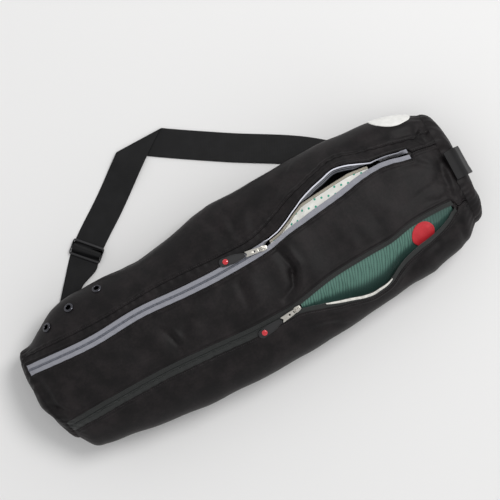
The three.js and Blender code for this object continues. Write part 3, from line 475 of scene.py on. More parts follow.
class Finish(Nodes):
    """A principled material: u and v run along and across the piece in metres, place is in the frame."""

    def __init__(self, name, base, roughness, metallic=0.0, **constants):
        self.material = bpy.data.materials.new(name)
        self.material.use_nodes = True
        self.material.diffuse_color = base
        super().__init__(self.material.node_tree)
        self.shader = self.tree.nodes["Principled BSDF"]
        values = {"Base_Color": base, "Roughness": roughness, "Metallic": metallic, **constants}
        for key, value in values.items():
            self.shader.inputs[key.replace("_", " ")].default_value = value
        self.uv = self.coordinates("UV")
        self.place = self.coordinates("Object")
        self.u, self.v = self.parts(self.uv)[:2]
        self.x, self.y = self.parts(self.place)[:2]

    def link(self, key, socket):
        self.tree.links.new(socket, self.shader.inputs[key])

    def tint(self, tone, low, high, dark, light):
        self.link("Base Color", self.blend(self.ramp(tone, low, high), dark, light))

    def waves(self, value, spacing):
        """A sine with one crest for each spacing, in metres."""
        return self.math("SINE", self.times(value, 2 * math.pi / spacing))

    def weave(self, spacing):
        return self.times(self.waves(self.u, spacing), self.waves(self.v, spacing))

    def noise(self, size_mm, detail=3.0):
        sockets = {"Vector": self.place, "Scale": 1 / (size_mm * MM), "Detail": detail, "Roughness": 0.55}
        return self.node("ShaderNodeTexNoise", sockets).outputs[0]

    def bump(self, height, distance_mm, strength, normal=None):
        sockets = {"Height": height, "Strength": strength, "Distance": distance_mm * MM}
        if normal is not None:
            sockets["Normal"] = normal
        return self.node("ShaderNodeBump", sockets).outputs[0]


def oxford_nylon(key, colours, sizes):
    """Coated oxford nylon, plain-woven: near black and dull, with a faint sheen along its threads and soft
    crumples. The threads are drawn about twice as coarse as the real 0.5 mm, to show."""
    roughness = 0.52
    f = Finish(key, colours.nylon, roughness, Specular_IOR_Level=0.17)
    weave, cloudy, fine = f.weave(sizes.weave), f.noise(26), f.noise(3.5, 2.0)
    tone = f.add(f.times(cloudy, 0.6), f.times(fine, 0.25))
    f.tint(f.add(tone, f.times(weave, 0.07)), 0.3, 0.62, colours.nylon, colours.nylon_light)
    f.link("Roughness", f.add(f.times(cloudy, 0.18), roughness - 0.09))
    normal = f.bump(f.noise(60, 1.0), 2.4, 0.6)
    normal = f.bump(cloudy, 0.9, 0.6, normal)
    normal = f.bump(fine, 0.14, 0.5, normal)
    f.link("Normal", f.bump(weave, 0.035, 0.6, normal))
    return f


def woven_tape(key, groove, rib, spacing, roughness=0.75):
    """Woven polyester tape: fine ribs across it at a slant, like a herringbone, and a little fuzz."""
    f = Finish(key, rib, roughness, Sheen_Weight=0.2, Sheen_Roughness=0.5)
    slant = f.add(f.u, f.times(f.math("ABSOLUTE", f.v), 0.7))
    height = f.add(f.times(f.waves(slant, spacing), 0.6), f.times(f.waves(f.v, spacing * 0.9), 0.4))
    f.tint(f.add(height, f.times(f.noise(1.2, 2.0), 1.6)), 0.0, 1.5, groove, rib)
    f.link("Normal", f.bump(height, 0.16, 0.7))
    return f


def grey_zip_tape(key, colours, sizes):
    return woven_tape(key, colours.grey_tape_dark, colours.grey_tape, sizes.tape_weave)


def grey_hanging_tape(key, colours, sizes):
    """The back tape: grey beside the coil, and where it hangs a pale edge of painted highlight over navy
    stripes, their navy painted shade of the tape's inner face.
    """
    f = grey_zip_tape(key, colours, sizes)
    opened = f.times(f.ramp(f.x, 0.026, 0.050), f.less(1.0, f.ramp(f.x, 0.205, 0.245)))
    # Painted shade: navy stripes for the hanging tape's inner face in shade, and above them a painted
    # highlight along its edge
    line = f.ramp(f.waves(f.less(f.v, 0.0005), 0.0052), 0.55, 0.9)
    navy = f.blend(line, colours.navy, colours.grey_tape)
    painted_edge_and_shade = f.blend(f.ramp(f.v, 0.0022, 0.0030), scaled(colours.grey_tape, 2.3), navy)
    woven = f.shader.inputs["Base Color"].links[0].from_socket
    f.link("Base Color", f.blend(opened, woven, painted_edge_and_shade))
    return f


def black_zip_tape(key, colours, sizes):
    """Black polyester zip tape with a greenish cast."""
    return woven_tape(key, scaled(colours.black_tape, 0.6), colours.black_tape, sizes.tape_weave)


def nylon_coil(key, colours, sizes):
    """Nylon monofilament coil: smooth and faintly glossy, with dust in its turns."""
    f = Finish(key, colours.coil, 0.42, Specular_IOR_Level=0.5)
    f.tint(f.noise(2.5), 0.35, 0.65, scaled(colours.coil, 0.6), colours.coil)
    return f


def black_nylon_coil(key, colours, sizes):
    f = Finish(key, colours.black_tape, 0.42)
    f.link("Roughness", f.add(f.times(f.noise(3), 0.3), 0.3))
    return f


def dotted_canvas(key, colours, sizes):
    """Cream canvas printed with small dots in slanting rows."""
    f = Finish(key, colours.cream, 0.85, Sheen_Weight=0.2, Sheen_Roughness=0.5)
    turned = f.node("ShaderNodeMapping", {"Vector": f.uv, "Rotation": (0, 0, math.radians(-20))})
    squares = []
    for output in f.parts(turned.outputs[0])[:2]:
        from_middle = f.less(f.math("FRACT", f.math("DIVIDE", output, sizes.dot_spacing)), 0.5)
        apart = f.times(from_middle, sizes.dot_spacing)
        squares.append(f.times(apart, apart))
    distance = f.math("SQRT", f.add(*squares))
    printed = f.less(1.0, f.ramp(distance, sizes.dot_radius * 0.8, sizes.dot_radius * 1.1))
    shade = f.noise(14)
    ground = f.blend(f.ramp(shade, 0.35, 0.7), scaled(colours.cream, 0.86), colours.cream)
    f.link("Base Color", f.blend(printed, ground, colours.dots))
    f.link("Normal", f.bump(f.weave(0.0011), 0.1, 0.5, f.bump(shade, 0.8, 0.5)))
    return f


def cotton_binding(key, colours, sizes):
    """Beige cotton tape folded over the lining's edge, ribbed across."""
    return woven_tape(key, scaled(colours.binding, 0.35), colours.binding, 0.0016, 0.85)


def ribbed_mesh(key, colours, sizes):
    """Ribbed polyester mesh in green: the ribs are in the mesh, their tops lit with painted light and their
    grooves and the wall lower down given painted shade; the cloth is also darkened towards the label, as
    painted shade of the lips."""
    f = Finish(key, colours.green_lit, 0.6, Sheen_Weight=0.35, Sheen_Roughness=0.35)
    heights = f.node("ShaderNodeAttribute", {}, attribute_name="rib").outputs["Fac"]
    fine = f.weave(0.0011)
    tone = f.add(heights, f.times(fine, 0.1))
    # Painted light on the rib tops, painted shade in the grooves and lower down the wall
    rib_light_and_shade = f.blend(f.ramp(tone, 0.1, 0.9), colours.green_shaded, colours.green_lit)
    # Painted shade: darker towards the label, where the lips shade the pocket
    painted_lip_shade = f.times(f.ramp(f.x, 0.215, 0.285), 0.75)
    f.link("Base Color", f.blend(painted_lip_shade, rib_light_and_shade, colours.green_shaded))
    f.link("Normal", f.bump(fine, 0.12, 0.6))
    return f


def cotton_edge(key, colours, sizes):
    """White cotton edge strip, plain-woven and a little soiled."""
    f = Finish(key, colours.lip, 0.85, Sheen_Weight=0.15)
    f.tint(f.noise(6), 0.3, 0.6, scaled(colours.lip, 0.72), colours.lip)
    f.link("Normal", f.bump(f.weave(0.001), 0.1, 0.6))
    return f


def red_badge(key, colours, sizes):
    """A round badge filled with close rows of stitching, slightly glossy along the thread."""
    f = Finish(key, colours.red, 0.55, Sheen_Weight=0.15)
    rows = f.waves(f.add(f.x, f.y), 0.00144)
    f.tint(f.add(f.times(rows, 0.2), f.noise(2.2)), 0.3, 0.6, scaled(colours.red, 0.8), colours.red)
    f.link("Normal", f.bump(rows, 0.08, 0.5))
    return f


def coated_patch(key, colours, sizes):
    """Coated white fabric: smooth, with the faint tooth of the cloth under the coating."""
    f = Finish(key, colours.patch, 0.5, Coat_Weight=0.1, Coat_Roughness=0.4)
    f.tint(f.noise(9), 0.35, 0.65, scaled(colours.patch, 0.9), colours.patch)
    f.link("Normal", f.bump(f.noise(0.9, 2.0), 0.08, 0.6))
    return f


def polypropylene_webbing(key, colours, sizes):
    """Polypropylene webbing: close cords along it crossed by the weft, with a waxy shine on the cords."""
    f = Finish(key, colours.webbing, 0.5, Specular_IOR_Level=0.16)
    cords = f.waves(f.v, sizes.webbing_rib)
    weft = f.waves(f.add(f.u, f.times(cords, 0.0004)), sizes.webbing_rib * 1.3)
    height = f.add(f.times(cords, 0.5), f.times(weft, 0.5))
    tone = f.add(f.times(height, 0.35), f.noise(18))
    f.tint(tone, 0.3, 0.95, colours.webbing, scaled(colours.webbing, 1.9))
    f.link("Normal", f.bump(height, 0.05, 0.7))
    return f


def plated(key, base, roughness):
    """Die-cast zinc or brass, tumbled and plated: bright and a little uneven."""
    f = Finish(key, base, roughness, 1.0)
    uneven = f.noise(2.0)
    f.link("Roughness", f.add(f.times(uneven, 0.25), roughness - 0.12))
    f.link("Normal", f.bump(uneven, 0.08, 0.4))
    return f


def plated_zinc(key, colours, sizes):
    return plated(key, colours.silver, 0.3)


def gunmetal_brass(key, colours, sizes):
    return plated(key, colours.gunmetal, 0.24)


def moulded(key, base, roughness, grain_mm=0.6, **constants):
    """Injection-moulded plastic or rubber with the fine grain of its mould."""
    f = Finish(key, base, roughness, **constants)
    grain = f.noise(grain_mm, 2.0)
    f.link("Roughness", f.add(f.times(grain, 0.16), roughness - 0.08))
    f.link("Normal", f.bump(grain, 0.05, 0.5))
    return f


def moulded_rubber(key, colours, sizes):
    return moulded(key, colours.rubber, 0.55)


def moulded_acetal(key, colours, sizes):
    return moulded(key, colours.plastic, 0.38, 0.9)


def resin_dome(key, colours, sizes):
    """A domed drop of clear resin over red: hard gloss with a wet highlight."""
    return moulded(key, colours.red, 0.16, 1.5, Coat_Weight=0.8, Coat_Roughness=0.05)


def bonded_thread(key, colours, sizes):
    """Bonded nylon thread, black and waxy."""
    return moulded(key, colours.nylon_light, 0.45, 0.5)


def studio_paper(key, colours, sizes):
    """Matt studio paper, with the faintest unevenness of its surface."""
    f = Finish(key, colours.floor, 0.9, Specular_IOR_Level=0.2)
    f.link("Base Color", f.blend(f.noise(400), colours.floor, scaled(colours.floor, 1.015)))
    return f


def material_of(finish):
    """The material of one finish, made the first time that it is asked for."""
    scene = bpy.context.scene
    made = bpy.data.materials.get(finish.__name__)
    return made or finish(finish.__name__, scene.bag_colours, scene.bag_sizes).material


# Making and shaping pieces

def only(*objects):
    """Leaves just these objects selected, the first one active."""
    if bpy.context.mode != "OBJECT":
        bpy.ops.object.mode_set(mode="OBJECT")
    bpy.ops.object.select_all(action="DESELECT")
    for obj in objects:
        obj.select_set(True)
    bpy.context.view_layer.objects.active = objects[0]


@contextmanager
def editing(obj):
    """Edit mode on one object with all of its mesh selected."""
    only(obj)
    bpy.ops.object.mode_set(mode="EDIT")
    bpy.ops.mesh.select_all(action="SELECT")
    yield
    bpy.ops.object.mode_set(mode="OBJECT")


def primitive(add, **settings):
    bpy.ops.object.select_all(action="DESELECT")
    add(**settings)
    return bpy.context.object


def apply_modifier(obj, kind, **settings):
    only(obj)
    modifier = obj.modifiers.new(kind.title(), kind)
    for key, value in settings.items():
        setattr(modifier, key, value)
    bpy.ops.object.modifier_apply(modifier=modifier.name)


def finish_piece(obj, name, finish, nodes, body=BAG):
    """Names a piece, gives it its material, and tells the frame what it is."""
    obj.name = name
    obj.data.name = name
    obj.data.materials.clear()
    obj.data.materials.append(material_of(finish))
    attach(obj, body)
    if nodes:
        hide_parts(*nodes)
    return obj


def grid_object(points, centred=True):
    """A grid primitive whose corners are moved to the given rows of points in millimetres."""
    rows, columns = points.shape[:2]
    obj = primitive(bpy.ops.mesh.primitive_grid_add, size=1,
                    x_subdivisions=rows - 1, y_subdivisions=columns - 1)
    mesh = obj.data
    count = len(mesh.vertices)
    flat = np.empty(count * 3)
    mesh.vertices.foreach_get("co", flat)
    flat = flat.reshape(count, 3)
    i = np.rint((flat[:, 0] + 0.5) * (rows - 1)).astype(int)
    j = np.rint((flat[:, 1] + 0.5) * (columns - 1)).astype(int)
    mesh.vertices.foreach_set("co", (points[i, j] * MM).ravel())
    steps_u = np.linalg.norm(np.diff(points, axis=0), axis=-1)
    steps_v = np.linalg.norm(np.diff(points, axis=1), axis=-1)
    u = np.zeros((rows, columns))
    v = np.zeros((rows, columns))
    u[1:] = np.cumsum(steps_u.mean(axis=1))[:, None]
    v[:, 1:] = np.cumsum(steps_v, axis=1)
    if centred:
        v -= v.mean(axis=1, keepdims=True)
    corner = np.empty(len(mesh.loops), dtype=int)
    mesh.loops.foreach_get("vertex_index", corner)
    uv = np.stack([u[i, j][corner], v[i, j][corner]], axis=-1) * MM
    mesh.uv_layers[0].data.foreach_set("uv", uv.ravel())
    mesh.update()
    return obj


def face_outward(obj, inward_mm):
    """Turns an open sheet so that its faces look away from a point inside it."""
    middle = Vector(inward_mm) * MM
    votes = sum((p.center - middle).dot(p.normal) * p.area for p in obj.data.polygons)
    if votes < 0:
        with editing(obj):
            bpy.ops.mesh.flip_normals()


def smooth(obj, angle_deg=40):
    only(obj)
    bpy.ops.object.shade_smooth_by_angle(angle=math.radians(angle_deg))


def sheet_piece(name, points, wall, finish, nodes, inside=INSIDE, centred=True):
    """A cloth piece: a shaped grid with its wall underneath."""
    obj = grid_object(points, centred)
    face_outward(obj, inside)
    apply_modifier(obj, "SOLIDIFY", thickness=wall * MM, offset=-1.0, use_rim=True)
    smooth(obj)
    return finish_piece(obj, name, finish, nodes)


def closed_sheet(name, points, wall, finish, node):
    """A cloth piece made of rings that close on a point in its middle."""
    obj = weld(grid_object(points))
    face_outward(obj, INSIDE)
    apply_modifier(obj, "SOLIDIFY", thickness=wall * MM, offset=-1.0)
    smooth(obj)
    finish_piece(obj, name, finish, [node])


def stations(start, end, step=PANEL_STEP):
    """Places along the bag in millimetres, from shares of its length."""
    count = max(2, int(round((end - start) * BAG_LENGTH / step)) + 1)
    return place_x(np.linspace(start, end, count))


# The cloth's own relief: soft waves, seeded creases, and puckers where a seam draws it in

def crease_rows():
    """Small creases: x, y, heading, half length, width and height in millimetres."""
    seeds = np.random.default_rng(23)
    zones = [
        # count, x from, x to, y from, y to, heading from, heading to in degrees, half length, width, height
        (16, 262, 322, -60, 105, -40, 40, 22, 4.5, 1.0),
        (10, -352, -300, -80, 70, -35, 35, 20, 4.0, 0.9),
        (16, -260, 250, -100, -55, 50, 130, 26, 7.0, 0.7),
        (14, -250, 250, 70, 130, 55, 125, 30, 8.0, 0.8),
        (14, -220, 260, -35, 35, 40, 140, 32, 9.0, 0.55),
        (8, 60, 240, 60, 125, -20, 50, 28, 6.0, 0.8),
    ]
    rows = []
    for count, x0, x1, y0, y1, h0, h1, length, width, height in zones:
        for _ in range(count):
            rows.append((seeds.uniform(x0, x1), seeds.uniform(y0, y1), math.radians(seeds.uniform(h0, h1)),
                         length * seeds.uniform(0.5, 1.3), width * seeds.uniform(0.7, 1.4),
                         height * seeds.uniform(0.5, 1.2) * seeds.choice([-1.0, 1.0, 1.0])))
    return rows


CREASES = crease_rows()


# Folds that the cloth is set in: a broken line in millimetres, the groove's half width and depth, and the
# height of the raised edge on the line's left
FOLD_LINES = (
    (((338, 107), (328, 47), (330, -5), (320, -30)), 4.2, 2.6, 1.2),
    (((313, 100), (302, 89), (316, 67)), 4.0, 1.9, 1.3),
    (((323, 98), (321, 67)), 3.6, 1.4, 1.0),
    (((281, 101), (331, 98)), 4.5, 0.8, 1.5),
    (((318, 36), (314, 7), (307, -20)), 5.0, 1.6, 1.5),
    (((324, -26), (327, -48)), 4.0, 1.8, 1.3),
    (((287, -58), (240, -68), (198, -86)), 5.0, 1.2, 1.2),
    (((304, -49), (299, -84)), 5.0, 1.6, 1.2),
    (((48, 35), (53, 6), (42, -21), (21, -30)), 4.6, 2.0, 1.7),
    (((-13, 36), (-27, 22), (-29, -12)), 7.0, 1.2, 0.9),
    (((-27, 141), (-19, 107), (-11, 93)), 8.0, 1.8, 0.9),
    (((5, 119), (6, 84)), 7.0, 1.3, 0.8),
    (((35, -74), (77, -86), (99, -92)), 4.5, 1.4, 1.1),
    (((38, -90), (77, -101)), 5.0, 1.2, 0.8),
    (((-355, 40), (-352, 11), (-352, -22)), 4.0, 1.6, 1.4),
    (((-358, -2), (-340, -30)), 3.6, 1.3, 1.0),
    (((-154, 9), (-147, -16)), 3.6, 1.3, 1.2),
    (((-116, 12), (-136, -6)), 7.0, 0.9, 0.8),
    (((106, 130), (65, 107)), 8.0, 1.2, 1.0),
    (((178, 117), (246, 114), (291, 104)), 6.0, 1.0, 1.2),
)


GROOVE_STRENGTH = 1.9
RIDGE_STRENGTH = 1.7


def line_relief(x, y, line, width, groove, ridge):
    """A groove along a broken line with a raised edge on its left, fading towards both ends."""
    nearest = np.full(np.broadcast(x, y).shape, 1e6)
    side = np.zeros(nearest.shape)
    reached = np.zeros(nearest.shape)
    for k in range(len(line) - 1):
        (x1, y1), (x2, y2) = line[k], line[k + 1]
        distance, t = segment_distance(x, y, x1, y1, x2, y2)
        closer = distance < nearest
        nearest = np.where(closer, distance, nearest)
        side = np.where(closer, np.sign((x2 - x1) * (y - y1) - (y2 - y1) * (x - x1)), side)
        reached = np.where(closer, (k + t) / (len(line) - 1), reached)
    fade = np.sqrt(np.sin(math.pi * (0.05 + 0.9 * reached)))
    sunk = GROOVE_STRENGTH * groove * np.exp(-((nearest / width) ** 2))
    raised = RIDGE_STRENGTH * ridge * np.exp(-(((nearest * side - 2.2 * width) / (1.5 * width)) ** 2))
    return fade * (raised - sunk)


def waves(x, y):
    """Soft swells of the cloth, a few centimetres long."""
    seeds = np.random.default_rng(5)
    total = np.zeros(np.broadcast(x, y).shape)
    for _ in range(9):
        length = seeds.uniform(45, 150)
        turn = seeds.uniform(0, math.pi)
        phase = seeds.uniform(0, 2 * math.pi)
        run = (x * math.cos(turn) + y * math.sin(turn)) * 2 * math.pi / length
        total = total + 0.26 * np.sin(run + phase + 0.8 * np.sin(run * 0.37))
    return total


def relief(x, y, angle):
    """How far the cloth stands out from its plain form, in millimetres."""
    height = waves(x, y + 40 * np.cos(angle))
    for cx, cy, heading, half_length, width, tall in CREASES:
        run = (x - cx) * math.cos(heading) + (y - cy) * math.sin(heading)
        off = -(x - cx) * math.sin(heading) + (y - cy) * math.cos(heading)
        off = off + 3.0 * np.sin(run / half_length * 1.7)
        height = height + tall * np.exp(-((off / width) ** 2) - (run / half_length) ** 4)
    above = np.sin(angle) > 0
    for line, width, groove, ridge in FOLD_LINES:
        height = height + np.where(above, line_relief(x, y, line, width, groove, ridge), 0.0)
    for seam, pitch, tall in ((line_y(FACING_SEAM, x), 13.0, 0.6), (zip_y(x) - TAPE - COIL / 2, 17.0, 0.4),
                              (pocket_y(x) - TAPE, 15.0, 0.5)):
        ripple = np.sin(2 * math.pi * x / pitch + 1.3 * np.sin(x / 29.0))
        height = height + np.where(above, tall * ripple * np.exp(-(((y - seam) / 8.0) ** 2)), 0.0)
    for end, pitch in ((LEFT_SEAM, 0.16), (RIGHT_SEAM, 0.2)):
        ripple = np.sin(2 * math.pi * angle / pitch + 2.0 * np.sin(angle * 3.1))
        height = height + 0.9 * ripple * np.exp(-(((x - end) / 13.0) ** 2))
    for _, share, side, head_x, head_y in ZIP_PULLS:
        px, py = place_x(share), plan_y(side)
        distance, _ = segment_distance(x, y, px + 8, py, px + head_x * 70, py + head_y * 70)
        height = height * (1 - np.exp(-((distance / 16.0) ** 2)))
    return np.where(above, height, height * (1 - smoothstep(-np.sin(angle) * 2.2)))


def cloth(x, angle):
    return skin(x, angle, relief)


def lifted(x, angle, lift):
    """Points off the cloth's outer face, in millimetres: outside it where the lift is positive."""
    return cloth(x, angle) + normals_of(cloth, x, angle) * np.broadcast_to(lift, x.shape)[..., None]


def strip(x, first_y, last_y, columns):
    """Places and angles of a strip between two lines, and the share of the way across it."""
    t = np.linspace(0, 1, columns)[None, :]
    angle = mix(angle_at(x, first_y)[:, None], angle_at(x, last_y)[:, None], t)
    return np.broadcast_to(x[:, None], angle.shape), angle, t


def evenly_round(x, low, high, samples=90):
    """Angles between two limits, and the distance round the section from the first limit to each."""
    t = np.linspace(0.0, 1.0, samples)
    angles = low[:, None] + (high - low)[:, None] * t[None, :]
    points = skin(x[:, None], angles)
    steps = np.linalg.norm(np.diff(points, axis=1), axis=-1)
    run = np.concatenate([np.zeros((len(x), 1)), np.cumsum(steps, axis=1)], axis=1)
    return angles, run


# Distances of the columns from a hemmed edge: close together where the cloth folds back and is stitched
HEM_STEPS = np.array([0.0, 0.35, 0.8, 1.5, 2.1, 2.6, 3.1, 3.8, 5.0, 6.2, 7.2, 8.4])


def hem_height(distance):
    """A folded edge: two layers as far as the stitching, which draws them in, with a round lip."""
    layers = 0.9 * smoothstep((8.0 - distance) / 2.4)
    groove = 0.65 * np.exp(-(((distance - 2.6) / 0.8) ** 2))
    lip = 1.1 * np.clip(1 - distance / 0.8, 0, 1) ** 2
    return layers - groove - lip


def panel_points(low, high, x, spacing=PANEL_SPACING, hem_low=False, hem_high=False):
    """Rows of points of a cloth panel between two angles, with hems along its long edges if wanted."""
    low, high = np.broadcast_to(low, x.shape), np.broadcast_to(high, x.shape)
    angles, run = evenly_round(x, low, high)
    width = run[:, -1]
    squeeze = np.minimum(1.0, 0.46 * width / HEM_STEPS[-1])[:, None]
    near = HEM_STEPS[None, :] * squeeze
    count = max(3, int(width.max() / spacing))
    start = near[:, -1:] if hem_low else np.zeros((len(x), 1))
    stop = width[:, None] - (near[:, -1:] if hem_high else 0.0)
    middle = start + (stop - start) * np.linspace(0, 1, count)[None, :]
    far = width[:, None] - near[:, -2::-1]
    reach = np.concatenate([near[:, :-1]] * hem_low + [middle] + [far] * hem_high, axis=1)
    angle = np.stack([np.interp(reach[k], run[k], angles[k]) for k in range(len(x))])
    xs = np.broadcast_to(x[:, None], angle.shape)
    lift = np.zeros(angle.shape)
    if hem_low:
        lift = lift + hem_height(reach / squeeze) * np.minimum(1, squeeze * 1.5)
    if hem_high:
        lift = lift + hem_height((width[:, None] - reach) / squeeze) * np.minimum(1, squeeze * 1.5)
    return lifted(xs, angle, lift)


def closing(x, end):
    return smoothstep((share_of(x) - end) / ZIP_END)


def seam_y(x):
    return line_y(FACING_SEAM, x)


def facing_edge_y(x):
    return mix(crest_y(x), zip_y(x), closing(x, MOUTH_END))


def top_back_y(x):
    return mix(zip_y(x) - COIL / 2 - TAPE, zip_y(x), closing(x, MOUTH_END))


def top_front_y(x):
    return mix(upper_lip_y(x) + TAPE, pocket_y(x), closing(x, POCKET_END))


def front_edge_y(x):
    return mix(lower_lip_y(x) - TAPE, pocket_y(x), closing(x, POCKET_END))


# The zips' tapes, the linings and what shows inside the mouths

def lining_top(x):
    return np.minimum(line_y(LINING_EDGE, x), crest_y(x) - BINDING - SEAM_GAP)


def tape_lean(x):
    """How far forward the hanging tape can lean before it meets the lining or the front tape."""
    beside = (share_of(x) > LINING_FROM - 0.02) & (share_of(x) < LINING_TO + 0.03)
    stop = np.maximum(np.where(beside, lining_top(x), zip_y(x)), zip_y(x))
    room = crest_y(x) - stop - 2 * TAPE_WALL - CLOTH / 2 - SEAM_GAP
    return np.clip(room, 0, HANGING_TAPE * TAPE_LEAN_SHARE)


def back_tape_points(x, columns=14):
    """The back tape: flat beside the coil, and hanging from the lip where the zip is open."""
    t = np.linspace(0, 1, columns)[None, :]
    xs = np.broadcast_to(x[:, None], (len(x), columns))
    from_ends = np.minimum(x - place_x(MOUTH_START), place_x(MOUTH_END) - x)
    opened = smoothstep(from_ends / HANGING_LENGTH)[:, None, None]
    crest = (crest_y(x) - HALF)[:, None]
    flat = cloth(xs, angle_at(xs, mix(crest, (zip_y(x) + COIL / 2 + HALF)[:, None], t)))
    lip = cloth(x, angle_at(x, crest[:, 0]))[:, None, :]
    lean = tape_lean(x)[:, None]
    drop = np.sqrt(HANGING_TAPE**2 - lean**2)
    ripple = 0.35 * np.sin(xs / 6.5) * t
    front = lip[..., 1] - TAPE_WALL - CLOTH / 2 - SEAM_GAP - lean * t**1.3 + ripple
    hanging = np.stack([np.broadcast_to(lip[..., 0], front.shape), front, lip[..., 2] - drop * t], axis=-1)
    return mix(flat, hanging, opened)


def pocket_back_depth(x, angle):
    low = angle_at(x, upper_lip_y(x))
    t = (angle - low) / (angle_at(x, lower_lip_y(x)) - low + 0.12)
    flat = CLOTH + 2 * SEAM_GAP
    return flat + (POCKET_DEPTH - flat) * smoothstep(t) * (0.35 + 0.65 * pocket_open(x))


def rib_height(x, angle, pitch):
    """Ribs across the pocket's back wall: round on top, fading to smooth cloth lower down."""
    low = angle_at(x, upper_lip_y(x))
    t = (angle - low) / (angle_at(x, lower_lip_y(x)) - low + 0.02)
    lean = (angle - low) * 34.0
    wave = np.abs(np.sin(math.pi * (x + lean) / pitch)) ** 0.7
    return wave * (1 - 0.8 * smoothstep((t - 0.45) / 0.4))


def coil_points(x, y_back, y_front, pitch=1.8, columns=9):
    """A closed coil: a low ridge across which the turns of both sides meet in a chevron."""
    t = np.linspace(0, 1, columns)[None, :]
    xs = np.broadcast_to(x[:, None], (len(x), columns))
    angle = angle_at(xs, mix(y_back[:, None], y_front[:, None], t))
    side = np.abs(2 * t - 1)
    dome = 1.1 * np.sqrt(np.clip(1 - side**2, 0, 1))
    turns = 0.32 * np.sin(2 * math.pi * (xs / pitch + 0.55 * side)) * (1 - side**4)
    middle = 0.35 * np.exp(-((side / 0.16) ** 2))
    return lifted(xs, angle, 0.1 + dome + turns - middle)


def arc_step(x, angle, arc_mm, steps=12):
    """The angle reached after going round the section by an arc from an angle."""
    for _ in range(steps):
        speed = np.linalg.norm(skin(x, angle + 0.001) - skin(x, angle - 0.001), axis=-1) / 0.002
        angle = angle + arc_mm / steps / np.maximum(speed, 1e-6)
    return angle


def badge_height(share, turn):
    """The height of a badge over its width: a rounded overcast rim and a row of dimples inside it."""
    rim = 0.55 * math.exp(-(((share - 0.955) / 0.028) ** 2))
    fall = 0.9 * (1 - max(0.0, (share - 0.975) / 0.025) ** 2)
    return fall + rim * (0.75 + 0.25 * np.sin(turn * 72))


def disc_points(x, angle, radius, depth, sectors=72):
    """Rings of a round piece that lies on the bag, its rim rounded over: outer ring first."""
    shares = np.concatenate([[1.0, 0.995, 0.98], np.linspace(0.95, 0.0, 14)])
    turn = np.linspace(0, 2 * math.pi, sectors + 1)
    rows = []
    for share in shares:
        px = x + radius * share * np.cos(turn)
        pa = arc_step(px, np.full(px.shape, float(angle)), radius * share * np.sin(turn))
        rows.append(lifted(px, pa, badge_height(share, turn) - depth(px, pa)))
    return np.stack(rows)


# Each end: its side, its seam, how far it bulges and how square it is
ENDS = {"left": (-1, LEFT_SEAM, LEFT_BULGE, LEFT_SQUARENESS),
        "right": (1, RIGHT_SEAM, RIGHT_BULGE, RIGHT_SQUARENESS)}


def end_points(end):
    """Rings of an end panel from its seam to its middle, drawn in along the seam and bulging between."""
    side, seam_x, bulge, squareness = ENDS[end]
    shares = np.concatenate([[1.0, 0.992, 0.98, 0.965], np.linspace(0.94, 0.0, 26)])[:, None]
    base_angles, run = evenly_round(np.array([seam_x]), np.array([0.0]), np.array([2 * math.pi]), 720)
    turn = np.interp(np.linspace(0, run[0, -1], 181), run[0], base_angles[0])[None, :]
    rim = cloth(np.full(turn.shape, seam_x), turn)
    height = float(section_at(seam_x)[2])
    middle = np.array([0.0, RIDGE_Y, WIDEST * height])
    out = HALF + bulge * np.sqrt(np.clip(1 - shares**squareness, 0, 1))
    x = mix(seam_x, rim[..., 0], shares) + side * out
    y = mix(middle[1], rim[..., 1], shares)
    z = mix(middle[2], rim[..., 2], shares)
    gather = np.sin(turn * 23 + 2 * np.sin(turn * 5)) * 1.1 * np.exp(-(((shares - 0.93) / 0.07) ** 2))
    gather = gather + 0.9 * np.sin(turn * 7 + shares * 4) * np.exp(-(((shares - 0.6) / 0.25) ** 2))
    return np.stack([x + side * gather * (1 - shares**12), y, np.maximum(z, 0.2)], axis=-1)


# The shoulder strap: swept flat over the floor, then folded back where it crosses its crease

FLOOR_HEIGHT = STRAP_WALL / 2
CREASE_Y = float(plan_y(STRAP_CREASE[1]))
FOLD_REACH = 2 * STRAP_WIDTH
ADJUSTER_BAR = 3.5
ADJUSTER_SLOT = 7.5
ADJUSTER_HALF = (3 * ADJUSTER_BAR + 2 * ADJUSTER_SLOT) / 2
ADJUSTER_WALL = 2.6
ADJUSTER_WIDTH = 50.0
ADJUSTER_LIFT = STRAP_WALL + 0.8
TAIL_WIDTH = 28.0
TAIL_WALL = 3.8
TUCK_LENGTH = 40.0
FOLD_TURN = 10.0
SETTLE_LENGTH = 50.0


def curve_through(points, samples=90):
    """A centripetal curve through points, as a dense line with the distance run at each point."""
    p = np.array(points, dtype=float)
    p = np.vstack([2 * p[0] - p[1], p, 2 * p[-1] - p[-2]])
    line = []
    t = np.linspace(0, 1, samples, endpoint=False)[:, None]
    for k in range(1, len(p) - 2):
        gaps = [max(np.linalg.norm(p[k + j] - p[k + j - 1]) ** 0.5, 1e-4) for j in range(3)]
        before, here, after = (p[k + j] - p[k + j - 1] for j in range(3))
        a = before / gaps[0] - (before + here) / (gaps[0] + gaps[1]) + here / gaps[1]
        b = here / gaps[1] - (here + after) / (gaps[1] + gaps[2]) + after / gaps[2]
        a, b = a * gaps[1], b * gaps[1]
        line.append(p[k] + a * t + (3 * here - 2 * a - b) * t**2 + (a + b - 2 * here) * t**3)
    line = np.vstack(line + [p[-2][None, :]])
    run = np.concatenate([[0.0], np.cumsum(np.linalg.norm(np.diff(line, axis=0), axis=1))])
    return line, run


